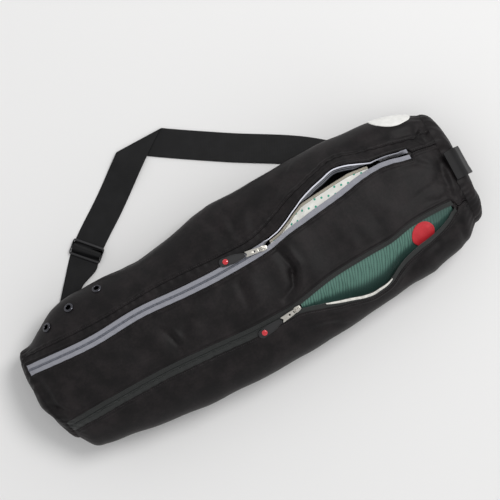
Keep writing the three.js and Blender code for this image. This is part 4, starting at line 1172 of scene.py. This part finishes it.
class StrapRoute:
    """The strap's middle line before it is folded, with its landmarks in millimetres along it."""

    def __init__(self):
        loop = [(*spot(x, y), up * STRAP_WALL) for x, y, up in STRAP_START + STRAP_LOOP]
        one = [(*spot(x, y), FLOOR_HEIGHT) for x, y in STRAP_LEG_ONE]
        crease = [(float(place_x(STRAP_CREASE[0])), CREASE_Y, FLOOR_HEIGHT)]
        two = [(float(place_x(x)), 2 * CREASE_Y - float(plan_y(y)) + math.pi * FOLD_RADIUS, FLOOR_HEIGHT)
               for x, y in STRAP_LEG_TWO]
        floor = one + crease + two
        self.line, self.run = curve_through(loop + floor)
        self.length = float(self.run[-1])
        self.floor_start = self.reach_of(floor[1])
        self.crease = self.reach_of(floor[len(one)])
        self.adjuster = self.reach_of(floor[len(one) + 2])

    def reach_of(self, place):
        return float(self.run[np.argmin(np.linalg.norm(self.line - np.array(place), axis=1))])

    def at(self, distance):
        d = np.clip(distance, 0, self.length)
        return np.stack([np.interp(d, self.run, self.line[:, k]) for k in range(3)], axis=-1)

    def heading(self, distance):
        step = self.at(np.asarray(distance) + 0.6) - self.at(np.asarray(distance) - 0.6)
        return step / np.linalg.norm(step, axis=-1, keepdims=True)


def fold_over(p):
    beyond = p[..., 1] - CREASE_Y
    turn = np.clip(beyond / FOLD_RADIUS, 0, math.pi)
    past = np.maximum(beyond - math.pi * FOLD_RADIUS, 0)
    radius = FOLD_RADIUS - (p[..., 2] - FLOOR_HEIGHT)
    y = CREASE_Y + radius * np.sin(turn) - past
    z = FLOOR_HEIGHT + FOLD_RADIUS - radius * np.cos(turn)
    folded = np.stack([p[..., 0], y, z], axis=-1)
    return np.where((beyond > 0)[..., None], folded, p)


def bar_rise(distance):
    """The webbing rises over the adjuster's middle bar."""
    t = 1 - (np.abs(distance) - ADJUSTER_BAR / 2) / ADJUSTER_SLOT
    return (ADJUSTER_LIFT + ADJUSTER_WALL + 0.4) * smoothstep(t * 1.12)


def webbing_ring(columns=17):
    """Once round the webbing's cross-section, as shares of half its width and half its wall."""
    over = np.sin(np.linspace(-1, 1, columns) * math.pi / 2)
    rise = np.clip(1 - np.abs(over) ** 14, 0, 1) ** (1 / 14)
    return np.concatenate([over, over[-2::-1]]), np.concatenate([rise, -rise[-2::-1]])


def strap_stations(route):
    """Places along the strap, close together where it folds and where it is threaded."""
    stretches = [(route.floor_start * 0.7, 1.6), (route.crease - FOLD_REACH, 4.0), (route.crease - 1, 3.0),
                 (route.crease + FOLD_TURN, 0.5), (route.crease + FOLD_REACH, 3.0),
                 (route.adjuster - ADJUSTER_HALF, 4.0), (route.adjuster + ADJUSTER_HALF, 0.8),
                 (route.length, 2.5)]
    places = [0.0]
    for to, step in stretches:
        count = max(1, math.ceil((to - places[-1]) / step))
        places.extend(np.linspace(places[-1], to, count + 1)[1:])
    return np.array(places)


def strap_points(route):
    """Rings round the webbing, from the right end to the sewn end past the adjuster, where its inner edge is
    tucked under and it runs on narrower and in two thicknesses."""
    d = strap_stations(route)
    over, rise = webbing_ring()
    tucked = smoothstep((d - route.adjuster - ADJUSTER_HALF - ADJUSTER_SLOT) / TUCK_LENGTH)[:, None]
    width = mix(STRAP_WIDTH, TAIL_WIDTH, tucked)
    wall = mix(STRAP_WALL, TAIL_WALL, tucked)
    tangent = route.heading(d)
    turned = smoothstep((d / route.floor_start) * 1.1 - 0.1)[:, None]
    level = np.stack([tangent[:, 1], -tangent[:, 0], np.zeros(len(d))], axis=-1)
    level = level / np.maximum(np.linalg.norm(level, axis=-1, keepdims=True), 1e-9)
    wide = mix(np.array([0.0, 1.0, 0.0]), level, turned)
    wide = wide - tangent * (wide * tangent).sum(axis=-1, keepdims=True)
    wide = wide / np.linalg.norm(wide, axis=-1, keepdims=True)
    up = np.cross(wide, tangent)
    crease_heading = route.heading(np.array([route.crease]))[0]
    skew = crease_heading[0] / crease_heading[1]
    skew = skew * (1 - smoothstep((np.abs(d - route.crease) - FOLD_TURN) / (FOLD_REACH - FOLD_TURN)))
    across = (over[None, :] + 1) / 2 * width - STRAP_WIDTH / 2
    height = rise[None, :] * wall / 2
    reached = d[:, None] + across * skew[:, None]
    middle = route.at(reached)
    middle[..., 2] = np.maximum(middle[..., 2], FLOOR_HEIGHT)
    p = fold_over(middle + wide[:, None, :] * across[..., None] + up[:, None, :] * height[..., None])
    settle = 2 * FOLD_RADIUS * smoothstep((reached - route.crease - STRAP_WIDTH) / SETTLE_LENGTH)
    folded = p[..., 2] + bar_rise(reached - route.adjuster) - settle + (wall - STRAP_WALL) / 2
    on_floor = np.maximum(p[..., 2], FLOOR_HEIGHT + height)
    flat = np.where(d[:, None] < route.crease - FOLD_REACH, on_floor, p[..., 2])
    p[..., 2] = np.where(d[:, None] > route.crease, folded, flat)
    return p


# Hard fittings

def axes(x, y, z, place):
    """The frame with the given axes and place."""
    return Matrix([(x[k], y[k], z[k], place[k]) for k in range(3)] + [(0, 0, 0, 1)])


def spot(share, side):
    """A place on the bag in millimetres, from a share of its length and a side."""
    return float(place_x(share)), float(plan_y(side))


def stand_on(x, y, head_x, head_y):
    """A frame on the bag in metres: x along a heading seen from above, z along the surface's normal."""
    angle = angle_at(np.array(x), np.array(y))
    up = Vector([float(c) for c in normals_of(skin, np.array(x), angle)])
    forward = Vector((head_x, head_y, 0))
    forward = (forward - up * forward.dot(up)).normalized()
    return axes(forward, up.cross(forward), up, skin(np.array(x), angle) * MM)


def move(x, y, z):
    return Matrix.Translation(Vector((x, y, z)) * MM)


def bevel(obj, width, segments, angle_deg):
    """Rounds the edges that are sharper than an angle."""
    apply_modifier(obj, "BEVEL", width=width * MM, segments=segments, limit_method="ANGLE",
                   angle_limit=math.radians(angle_deg), use_clamp_overlap=True)


def plate(outline, wall, rounding=0.0, segments=2):
    """A flat piece cut to an outline, extruded upwards, with its edges rounded if asked."""
    obj = primitive(bpy.ops.mesh.primitive_circle_add, vertices=len(outline), radius=1, fill_type="NGON")
    for vertex, (x, y) in zip(obj.data.vertices, outline):
        vertex.co = Vector((x, y, 0)) * MM
    with editing(obj):
        bpy.ops.mesh.extrude_region_move(TRANSFORM_OT_translate={"value": (0, 0, wall * MM)})
        bpy.ops.mesh.select_all(action="SELECT")
        bpy.ops.mesh.normals_make_consistent(inside=False)
    if rounding:
        bevel(obj, rounding, segments, 30)
    return obj


def turned_piece(profile, sectors):
    """A round piece: a profile of radii and heights carried once round, closed and welded."""
    turn = np.linspace(0, 2 * math.pi, sectors + 1)
    rows = [np.stack([r * np.cos(turn), r * np.sin(turn), 0 * turn + z], axis=-1) for r, z in profile]
    return weld(grid_object(np.stack(rows)))


def weld(obj, closed=False):
    """Merges the points that meet, closes open ends if asked, and turns all faces outward."""
    with editing(obj):
        bpy.ops.mesh.remove_doubles(threshold=0.00001)
        if closed:
            bpy.ops.mesh.fill_holes(sides=0)
        bpy.ops.mesh.normals_make_consistent(inside=False)
    return obj


def cut_from(obj, *cutters):
    for cutter in cutters:
        apply_modifier(obj, "BOOLEAN", object=cutter, operation="DIFFERENCE", solver="EXACT")
        bpy.data.objects.remove(cutter)
    return obj


def joined(obj, *others):
    only(obj, *others)
    bpy.ops.object.join()
    return obj


def place(obj, matrix):
    obj.data.transform(matrix)
    obj.data.update()
    return obj


def mirrored(corners):
    """One side of an outline and its mirror image, as one outline."""
    return corners + [(x, -y) for x, y in reversed(corners)]


def rounded_outline(corners, radius, segments=5):
    """An outline whose corners are rounded by arcs drawn between points a radius either side."""
    points = []
    for k, corner in enumerate(corners):
        before, here, after = Vector(corners[k - 1]), Vector(corner), Vector(corners[(k + 1) % len(corners)])
        reach = min(radius, (before - here).length * 0.45, (after - here).length * 0.45)
        start = here + (before - here).normalized() * reach
        stop = here + (after - here).normalized() * reach
        for s in range(segments + 1):
            t = s / segments
            points.append(tuple((1 - t) ** 2 * start + 2 * t * (1 - t) * here + t**2 * stop))
    return points


def unit(vector):
    return vector / max(np.linalg.norm(vector), 1e-9)


def stitches(paths, pitch, length=2.6, radius=0.32):
    """Rows of thread: one stitch modelled once, and copied along each line of points and normals."""
    obj = primitive(bpy.ops.mesh.primitive_uv_sphere_add, segments=6, ring_count=4, radius=1)
    shape = np.array([v.co for v in obj.data.vertices]) * np.array([radius, radius, length / 2])
    faces = [tuple(p.vertices) for p in obj.data.polygons]
    points, polygons = [], []
    for line, normals in paths:
        run = np.concatenate([[0.0], np.cumsum(np.linalg.norm(np.diff(line, axis=0), axis=1))])
        for d in np.arange(pitch / 2, run[-1], pitch):
            middle, ahead, behind = (np.array([np.interp(reach, run, line[:, k]) for k in range(3)])
                                     for reach in (d, min(d + 1, run[-1]), max(d - 1, 0)))
            heading = unit(ahead - behind)
            wide = unit(np.cross([np.interp(d, run, normals[:, k]) for k in range(3)], heading))
            up = np.cross(heading, wide)
            base = len(points)
            points.extend(middle + shape[:, :1] * wide + shape[:, 1:2] * up + shape[:, 2:] * heading)
            polygons.extend(tuple(base + i for i in face) for face in faces)
    mesh = bpy.data.meshes.new("stitches")
    mesh.from_pydata([tuple(p * MM) for p in points], [], polygons)
    mesh.update()
    obj.data = mesh
    return weld(obj)


class BAG_OT_stage(Operator):
    """Lays the floor, hangs the soft light and sets the camera at the photograph's angle"""
    bl_idname = "bag.stage"
    bl_label = "Stage"
    bl_options = {"REGISTER", "UNDO"}

    def execute(self, context):
        floor = primitive(bpy.ops.mesh.primitive_plane_add, size=9)
        floor.data.transform(move(0, 0, -0.5))
        floor.name = "studio_floor"
        floor.data.materials.append(material_of(studio_paper))
        self.light("key_light", (1.75, 0.5, 3.1), 1.5, 58.0, (1.0, 0.99, 0.98))
        context.scene.world = self.room()
        context.scene.view_settings.view_transform = "Standard"
        self.camera(context)
        return {"FINISHED"}

    def room(self):
        """Pale walls all round under a darker ceiling."""
        world = bpy.data.worlds.new("studio")
        world.use_nodes = True
        nodes = Nodes(world.node_tree)
        height = nodes.ramp(nodes.parts(nodes.coordinates("Generated"))[2], 0.05, 0.95)
        grey = nodes.blend(height, (0.98, 0.98, 0.98, 1), (0.58, 0.58, 0.58, 1))
        nodes.tree.links.new(grey, nodes.tree.nodes["Background"].inputs["Color"])
        return world

    def light(self, name, place, size, power, tint):
        lamp = bpy.data.lights.new(name, "AREA")
        lamp.shape = "DISK"
        lamp.size = size
        lamp.energy = power
        lamp.color = tint
        obj = bpy.data.objects.new(name, lamp)
        bpy.context.collection.objects.link(obj)
        towards = Vector((0, 0.05, 0.05)) - Vector(place)
        obj.matrix_world = Matrix.Translation(place) @ towards.to_track_quat("-Z", "Y").to_matrix().to_4x4()

    def camera(self, context):
        lens = bpy.data.cameras.new("photo_camera")
        lens.lens = 125
        lens.sensor_width = 36
        obj = bpy.data.objects.new("photo_camera", lens)
        bpy.context.collection.objects.link(obj)
        target = Vector((0.0114, 0.0587, 0.05))
        elevation = math.radians(88.5)
        distance = 2.603
        right = Vector((0.879, -0.477, 0)).normalized()
        up_image = Vector((0.477, 0.879, 0)).normalized()
        back = Vector((0, 0, 1)) * math.sin(elevation) - up_image * math.cos(elevation)
        obj.matrix_world = axes(right, back.cross(right), back, target + back * distance)
        context.scene.camera = obj


class BAG_OT_cloth_panels(Operator):
    """Cuts the bag's outer panels of nylon, with folded hems beside the zips"""
    bl_idname = "bag.cloth_panels"
    bl_label = "Cloth Panels"
    bl_options = {"REGISTER", "UNDO"}

    def execute(self, context):
        x = stations(INSET, 1 - INSET)
        back = panel_points(-SEAM_ANGLE + EDGE_TURN, angle_at(x, seam_y(x) + HALF), x, hem_high=True)
        obj = self.panel("back_cloth", back)
        obj = finish_piece(self.pierce(obj), "back_cloth", oxford_nylon, ["back_panel"])
        facing = panel_points(angle_at(x, seam_y(x) - HALF), angle_at(x, facing_edge_y(x) + HALF), x,
                              hem_high=True)
        self.panel("zip_facing_cloth", facing, "zip_facing")
        top = panel_points(angle_at(x, top_back_y(x) - HALF), angle_at(x, top_front_y(x) + HALF), x,
                           hem_low=True, hem_high=True)
        self.panel("top_cloth", top, "top_panel")
        last = np.full(x.shape, math.pi + SEAM_ANGLE - EDGE_TURN)
        front = panel_points(angle_at(x, front_edge_y(x) - HALF), last, x, hem_low=True)
        self.panel("front_cloth", front, "front_panel")
        last = np.full(x.shape, 2 * math.pi - SEAM_ANGLE)
        self.panel("base_cloth", panel_points(math.pi + SEAM_ANGLE, last, x, BASE_SPACING), "base_panel")
        return {"FINISHED"}

    def panel(self, name, points, *nodes):
        return sheet_piece(name, points, PANEL_WALL, oxford_nylon, nodes)

    def pierce(self, obj):
        cutters = []
        for share, side in EYELETS:
            cutter = turned_piece([(0, -12), (5.2, -12), (5.2, 12), (0, 12)], 20)
            cutters.append(place(cutter, stand_on(*spot(share, side), 1, 0)))
        return cut_from(obj, *cutters)


class BAG_OT_end_panels(Operator):
    """Closes both ends of the bag with gathered panels"""
    bl_idname = "bag.end_panels"
    bl_label = "End Panels"
    bl_options = {"REGISTER", "UNDO"}

    def execute(self, context):
        for end in ("left", "right"):
            points = end_points(end)
            closed_sheet(f"end_cloth_{end}", points, END_WALL, oxford_nylon, f"end_panel_{end}")
        return {"FINISHED"}


def zip_stay(name, end, back_y, front_y):
    """The square of nylon sewn under the cloth where a zip ends."""
    edge = place_x(end) - 2.0
    x = np.linspace(edge, edge + 11.0, 12)
    t = np.linspace(0, 1, 12)[None, :]
    y = mix((back_y(edge + 0 * x) + 3.0)[:, None], (front_y(edge + 0 * x) - 3.0)[:, None], t)
    xs = np.broadcast_to(x[:, None], y.shape)
    points = lifted(xs, angle_at(xs, y), -STAY_DEPTH)
    sheet_piece(name, points, STAY_WALL, oxford_nylon, [])


class BAG_OT_main_zip(Operator):
    """Weaves the main zip's grey tapes and lays its closed coil"""
    bl_idname = "bag.main_zip"
    bl_label = "Main Zip"
    bl_options = {"REGISTER", "UNDO"}

    def execute(self, context):
        x = stations(INSET, MOUTH_END, ZIP_STEP)
        sheet_piece("main_tape_back", back_tape_points(x), TAPE_WALL, grey_hanging_tape,
                    ["main_zip_tape_back"], centred=False)
        edge = zip_y(x) - (COIL / 2 + HALF) * (1 - mouth_open(x))
        front = panel_points(angle_at(x, edge), angle_at(x, top_back_y(x) - 2.2), x, TAPE_SPACING)
        sheet_piece("main_tape_front", front, TAPE_WALL, grey_zip_tape, ["main_zip_tape_front"])
        x = stations(INSET, MOUTH_START - COIL_SHORT, COIL_STEP)
        coil = coil_points(x, zip_y(x) + COIL / 2 - HALF, zip_y(x) - COIL / 2 + HALF)
        sheet_piece("main_coil", coil, COIL_WALL, nylon_coil, ["main_zip_coil"])
        zip_stay("main_zip_stay", MOUTH_END, facing_edge_y, top_back_y)
        return {"FINISHED"}


class BAG_OT_pocket_zip(Operator):
    """Weaves the pocket zip's black tapes and lays its closed coil"""
    bl_idname = "bag.pocket_zip"
    bl_label = "Pocket Zip"
    bl_options = {"REGISTER", "UNDO"}

    def execute(self, context):
        x = stations(INSET, POCKET_END, ZIP_STEP)
        far = TAPE + TAPE_WALL
        self.tape("upper", x, upper_lip_y(x) + far, upper_lip_y(x) + HALF)
        self.tape("lower", x, lower_lip_y(x) - HALF, lower_lip_y(x) - far)
        x = stations(INSET, POCKET_START - COIL_SHORT, COIL_STEP)
        coil = coil_points(x, upper_lip_y(x) - HALF, lower_lip_y(x) + HALF)
        sheet_piece("pocket_coil", coil, COIL_WALL, black_nylon_coil, ["pocket_zip_coil"])
        zip_stay("pocket_zip_stay", POCKET_END, top_front_y, front_edge_y)
        return {"FINISHED"}

    def tape(self, side, x, back_y, front_y):
        points = panel_points(angle_at(x, back_y), angle_at(x, front_y), x, TAPE_SPACING)
        sheet_piece(f"pocket_tape_{side}", points, TAPE_WALL, black_zip_tape,
                    [f"pocket_zip_tape_{side}"])


class BAG_OT_linings(Operator):
    """Sews in the dotted lining with its bound edge, and the pocket's ribbed back wall"""
    bl_idname = "bag.linings"
    bl_label = "Linings"
    bl_options = {"REGISTER", "UNDO"}

    def execute(self, context):
        x = stations(LINING_FROM, LINING_TO, ZIP_STEP)
        top = lining_top(x)
        xs, angle, t = strip(x, top - BINDING - HALF, zip_y(x) - TAPE, 18)
        sag = 0.35 * np.sin(xs / 11.0 + 3 * t) * np.sin(math.pi * t)
        points = lifted(xs, angle, -(LINING_DEPTH + 1.5 * (1 - t) + sag))
        sheet_piece("dotted_lining", points, LINING_WALL, dotted_canvas, ["main_lining"],
                    (0, RIDGE_Y, 20))
        xs, angle, t = strip(x, top, top - BINDING + HALF, 9)
        round_top = 0.9 * np.sqrt(np.clip(1 - (2 * t - 1) ** 2, 0, 1)) + 0.15 * np.sin(xs / 2.1)
        points = lifted(xs, angle, -(LINING_DEPTH + 1.2 - round_top))
        sheet_piece("lining_binding", points, BINDING_WALL, cotton_binding,
                    ["main_lining_binding"], (0, RIDGE_Y, 20))
        self.pocket_back(context)
        return {"FINISHED"}

    def pocket_back(self, context):
        pitch = context.scene.bag_sizes.rib_pitch / MM
        x = stations(POCKET_START + 0.01, POCKET_END - 0.005, RIB_STEP)
        t = np.linspace(0, 1, 44)[None, :]
        low = angle_at(x, upper_lip_y(x) + TAPE * 0.6)[:, None]
        high = (angle_at(x, lower_lip_y(x)) + 0.5)[:, None]
        angle = mix(low, high, t)
        xs = np.broadcast_to(x[:, None], angle.shape)
        ribs = rib_height(xs, angle, pitch)
        points = lifted(xs, angle, -(pocket_back_depth(xs, angle) - RIB_TALL * ribs))
        obj = sheet_piece("pocket_back", points, LINING_WALL, ribbed_mesh, ["pocket_lining"],
                          (0, RIDGE_Y, 10))
        self.keep_rib_heights(obj, points, ribs)

    def keep_rib_heights(self, obj, points, ribs):
        """Stores each point's rib height, which sets the painted light on the ribs' tops and the painted
        shade in their grooves.
        """
        tree = KDTree(ribs.size)
        for index, point in enumerate(points.reshape(-1, 3) * MM):
            tree.insert(point, index)
        tree.balance()
        attribute = obj.data.attributes.new("rib", "FLOAT", "POINT")
        heights = ribs.ravel()
        for vertex in obj.data.vertices:
            attribute.data[vertex.index].value = float(heights[tree.find(vertex.co)[1]])


class BAG_OT_badges(Operator):
    """Sews on the bare round label and patch, and the pale edge of the pocket's lip"""
    bl_idname = "bag.badges"
    bl_label = "Label, Patch and Lip Edge"
    bl_options = {"REGISTER", "UNDO"}

    def execute(self, context):
        x, y = spot(*LABEL_PLACE)
        angle = float(angle_at(np.array(x), y))
        points = disc_points(x, angle, LABEL_RADIUS, lambda px, pa: pocket_back_depth(px, pa) - 1.0)
        closed_sheet("round_label_cloth", points, BADGE_WALL, red_badge, "round_label")
        x, y = spot(*PATCH_PLACE)
        angle = float(arc_step(np.array([x]), np.array([float(angle_at(np.array(x), y))]), -PATCH_WRAP)[0])
        points = disc_points(x, angle, PATCH_RADIUS, lambda px, pa: np.full(px.shape, -0.3), sectors=96)
        closed_sheet("round_patch_cloth", points, BADGE_WALL, coated_patch, "round_patch")
        self.lip()
        return {"FINISHED"}

    def lip(self):
        share = np.linspace(0.628, 0.778, 90)
        x = place_x(share)
        t = np.linspace(0, 1, 7)[None, :]
        taper = np.sqrt(np.clip(np.sin(math.pi * np.clip((share - 0.622) / 0.162, 0, 1)), 0.05, 1))[:, None]
        y = (lower_lip_y(x) - HALF)[:, None] - LIP_EDGE * t * (0.2 + 0.8 * taper)
        xs = np.broadcast_to(x[:, None], y.shape)
        lift = 0.9 + 0.5 * np.sin(math.pi * t) + 0.15 * np.sin(xs / 3.1)
        points = lifted(xs, angle_at(xs, y), lift)
        sheet_piece("pocket_lip_cloth", points, LIP_WALL, cotton_edge, ["pocket_lip_edge"])


class BAG_OT_eyelets(Operator):
    """Sets the three eyelets in the back panel"""
    bl_idname = "bag.eyelets"
    bl_label = "Eyelets"
    bl_options = {"REGISTER", "UNDO"}

    def execute(self, context):
        for number, (share, side) in enumerate(EYELETS, 1):
            obj = place(turned_piece(EYELET_PROFILE, 40), stand_on(*spot(share, side), 1, 0))
            smooth(obj, 35)
            finish_piece(obj, f"eyelet_ring_{number}", gunmetal_brass, [f"eyelet_{number}"])
        return {"FINISHED"}


class BAG_OT_zip_pulls(Operator):
    """Casts the sliders and their pulls, and moulds the tabs with their round dots"""
    bl_idname = "bag.zip_pulls"
    bl_label = "Sliders and Pulls"
    bl_options = {"REGISTER", "UNDO"}

    def execute(self, context):
        for name, share, side, head_x, head_y in ZIP_PULLS:
            body = name.replace("_zip", "_pull")
            x, y = spot(share, side)
            here = stand_on(x, y, head_x, head_y) @ move(0, 0, SLIDER_LIFT)
            self.part(self.slider(), here, name, "slider_cast", plated_zinc, "silver", "slider", BAG)
            self.part(self.pull(), here, name, "pull_cast", plated_zinc, "silver", "pull", body)
            reach = (BAR_PLACE + PULL_LENGTH + SEAM_GAP + TAB_LENGTH / 2) / math.hypot(head_x, head_y)
            here = stand_on(x + head_x * reach, y + head_y * reach, head_x, head_y)
            here = here @ move(-TAB_LENGTH / 2, 0, SEAM_GAP + 0.6)
            self.part(self.tab(), here, name, "tab_moulded", moulded_rubber, "rubber", "pull_tab", body)
            here = here @ move(TAB_LENGTH * DOT_SHARE, 0, TAB_WALL + SEAM_GAP)
            self.part(turned_piece(DOT_PROFILE, 40), here, name, "dot_resin", resin_dome, "red_plastic",
                      "pull_dot", body, 40)
        return {"FINISHED"}

    def part(self, obj, here, zip_name, kind, finish, slot, node, body, angle=35):
        smooth(place(obj, here), angle)
        finish_piece(obj, f"{zip_name}_{kind}", finish, [f"{zip_name}_{node}"], body)

    def slider(self):
        """A waisted plate, and the bridge that holds the pull."""
        outline = mirrored([(-6, -3.1), (2.4, -4.5), (6, -2.5)])
        base = plate(rounded_outline(outline, 1.8), PLATE, 0.45, 3)
        arch = [(-4.0, 1.0), (-4.0, BRIDGE_TOP - 1.6), (-2.6, BRIDGE_TOP), (2.6, BRIDGE_TOP),
                (4.0, BRIDGE_TOP - 1.6), (4.0, 1.0), (2.6, 1.0), (2.6, BRIDGE_TOP - 1.9),
                (1.9, BRIDGE_TOP - 1.4), (-1.9, BRIDGE_TOP - 1.4), (-2.6, BRIDGE_TOP - 1.9), (-2.6, 1.0)]
        bridge = plate(arch, BRIDGE_WIDTH, 0.35, 3)
        place(bridge, move(0, BRIDGE_WIDTH / 2, 0) @ Matrix.Rotation(math.pi / 2, 4, "X"))
        return joined(base, bridge)

    def pull(self):
        """A flat pull: a loop round the bridge, a blade with a round hole, and a swallow-tailed end."""
        w, head = PULL_WIDTH / 2, BAR / 2
        inner = BRIDGE_WIDTH / 2 + RUNNING_GAP
        rail = inner + 1.5
        corners = [(-head, -rail), (WINDOW * 0.8, -rail), (WINDOW + 4, -w + 0.4), (PULL_LENGTH, -w),
                   (PULL_LENGTH - PULL_WIDTH * 0.35, 0), (PULL_LENGTH, w), (WINDOW + 4, w - 0.4),
                   (WINDOW * 0.8, rail), (-head, rail)]
        blade = plate(rounded_outline(corners, 0.7, 4), PULL_WALL)
        window = plate(rounded_outline(mirrored([(head, -inner), (WINDOW, -inner)]), 0.7), 6)
        place(window, move(0, 0, -2))
        hole = turned_piece([(0, -3), (1.5, -3), (1.5, 5), (0, 5)], 24)
        place(hole, move(WINDOW + 6.5, 0, 0))
        cut_from(blade, window, hole)
        bevel(blade, 0.3, 2, 50)
        place(blade, move(0, 0, -PULL_WALL / 2))
        return place(blade, move(BAR_PLACE, 0, BAR_HEIGHT) @ Matrix.Rotation(PULL_TILT, 4, "Y"))

    def tab(self):
        """A soft tab, narrow where it is threaded and round at its end, with a raised rim."""
        w = TAB_WIDTH / 2
        corner = TAB_WIDTH * 0.3
        corners = mirrored([(0, -w * 0.45), (corner, -w * 0.6), (TAB_LENGTH * 0.4, -w),
                            (TAB_LENGTH - corner, -w), (TAB_LENGTH, -w * 0.45)])
        obj = plate(rounded_outline(corners, 3.0), TAB_WALL)
        only(obj)
        bpy.ops.object.mode_set(mode="EDIT")
        bpy.ops.mesh.select_all(action="DESELECT")
        bpy.ops.object.mode_set(mode="OBJECT")
        top = max(obj.data.polygons, key=lambda p: p.center.z if len(p.vertices) > 6 else -1)
        top.select = True
        bpy.ops.object.mode_set(mode="EDIT")
        bpy.ops.mesh.inset(thickness=1.3 * MM, depth=0)
        bpy.ops.mesh.inset(thickness=0.3 * MM, depth=-0.35 * MM)
        bpy.ops.object.mode_set(mode="OBJECT")
        bevel(obj, 0.5, 3, 50)
        return obj


class BAG_OT_strap(Operator):
    """Threads the shoulder strap through its adjuster"""
    bl_idname = "bag.strap"
    bl_label = "Strap and Adjuster"
    bl_options = {"REGISTER", "UNDO"}

    def execute(self, context):
        route = StrapRoute()
        obj = weld(grid_object(strap_points(route)), closed=True)
        smooth(obj, 50)
        finish_piece(obj, "strap_webbing", polypropylene_webbing, ["shoulder_strap"])
        self.adjuster(route)
        return {"FINISHED"}

    def adjuster(self, route):
        outline = mirrored([(-ADJUSTER_HALF, -ADJUSTER_WIDTH / 2), (ADJUSTER_HALF, -ADJUSTER_WIDTH / 2)])
        obj = plate(rounded_outline(outline, 4.5, 6), ADJUSTER_WALL)
        cutters = []
        for side in (-1, 1):
            middle = side * (ADJUSTER_BAR + ADJUSTER_SLOT) / 2
            long = (STRAP_WIDTH + 1.6) / 2
            slot = mirrored([(middle - ADJUSTER_SLOT / 2, -long), (middle + ADJUSTER_SLOT / 2, -long)])
            cutters.append(place(plate(rounded_outline(slot, 1.5), 12), move(0, 0, -4)))
        cut_from(obj, *cutters)
        bevel(obj, 0.9, 4, 50)
        here = np.array([route.adjuster])
        heading = route.heading(here)[0]
        middle = fold_over(route.at(here))[0]
        turn = Matrix.Rotation(math.atan2(-heading[1], heading[0]), 4, "Z")
        place(obj, move(middle[0], middle[1], ADJUSTER_LIFT) @ turn)
        smooth(obj, 35)
        finish_piece(obj, "adjuster_moulded", moulded_acetal, ["strap_adjuster"])


class BAG_OT_stitching(Operator):
    """Sews the rows of stitches along the back seam and beside the zips"""
    bl_idname = "bag.stitching"
    bl_label = "Stitching"
    bl_options = {"REGISTER", "UNDO"}

    def execute(self, context):
        x = stations(0.004, 0.996, 3.0)
        rows = [seam_y(x) + 3.0, facing_edge_y(x) + STITCH_INSET, top_back_y(x) - STITCH_INSET,
                top_front_y(x) - STITCH_INSET, front_edge_y(x) - STITCH_INSET]
        paths = []
        for y in rows:
            angle = angle_at(x, y)
            normals = normals_of(cloth, x, angle)
            paths.append((cloth(x, angle) + normals * 0.35, normals))
        obj = stitches(paths, context.scene.bag_sizes.stitch_pitch / MM)
        smooth(obj, 60)
        finish_piece(obj, "seam_stitching", bonded_thread, [])
        return {"FINISHED"}


PIECES = (BAG_OT_cloth_panels, BAG_OT_end_panels, BAG_OT_main_zip, BAG_OT_pocket_zip, BAG_OT_linings,
          BAG_OT_badges, BAG_OT_eyelets, BAG_OT_zip_pulls, BAG_OT_strap, BAG_OT_stitching)


class BAG_PT_builder(Panel):
    """Lists the steps that build the bag"""
    bl_idname = "BAG_PT_builder"
    bl_label = "Yoga Mat Bag"
    bl_space_type = "VIEW_3D"
    bl_region_type = "UI"
    bl_category = "Bag"

    def draw(self, context):
        self.layout.operator(BAG_OT_stage.bl_idname)
        for piece in PIECES:
            self.layout.operator(piece.bl_idname)
        for group in (context.scene.bag_colours, context.scene.bag_sizes):
            box = self.layout.box()
            for key in group.__annotations__:
                box.prop(group, key)


CLASSES = (BagColours, BagSizes, BAG_OT_stage) + PIECES + (BAG_PT_builder,)


def register():
    for cls in CLASSES:
        bpy.utils.register_class(cls)
    bpy.types.Scene.bag_colours = PointerProperty(type=BagColours)
    bpy.types.Scene.bag_sizes = PointerProperty(type=BagSizes)


def unregister():
    del bpy.types.Scene.bag_sizes
    del bpy.types.Scene.bag_colours
    for cls in reversed(CLASSES):
        bpy.utils.unregister_class(cls)


def main():
    register()
    bpy.ops.bag.stage()
    bpy.ops.bag.cloth_panels()
    bpy.ops.bag.end_panels()
    bpy.ops.bag.main_zip()
    bpy.ops.bag.pocket_zip()
    bpy.ops.bag.linings()
    bpy.ops.bag.badges()
    bpy.ops.bag.eyelets()
    bpy.ops.bag.zip_pulls()
    bpy.ops.bag.strap()
    bpy.ops.bag.stitching()


if __name__ == "__main__":
    main()
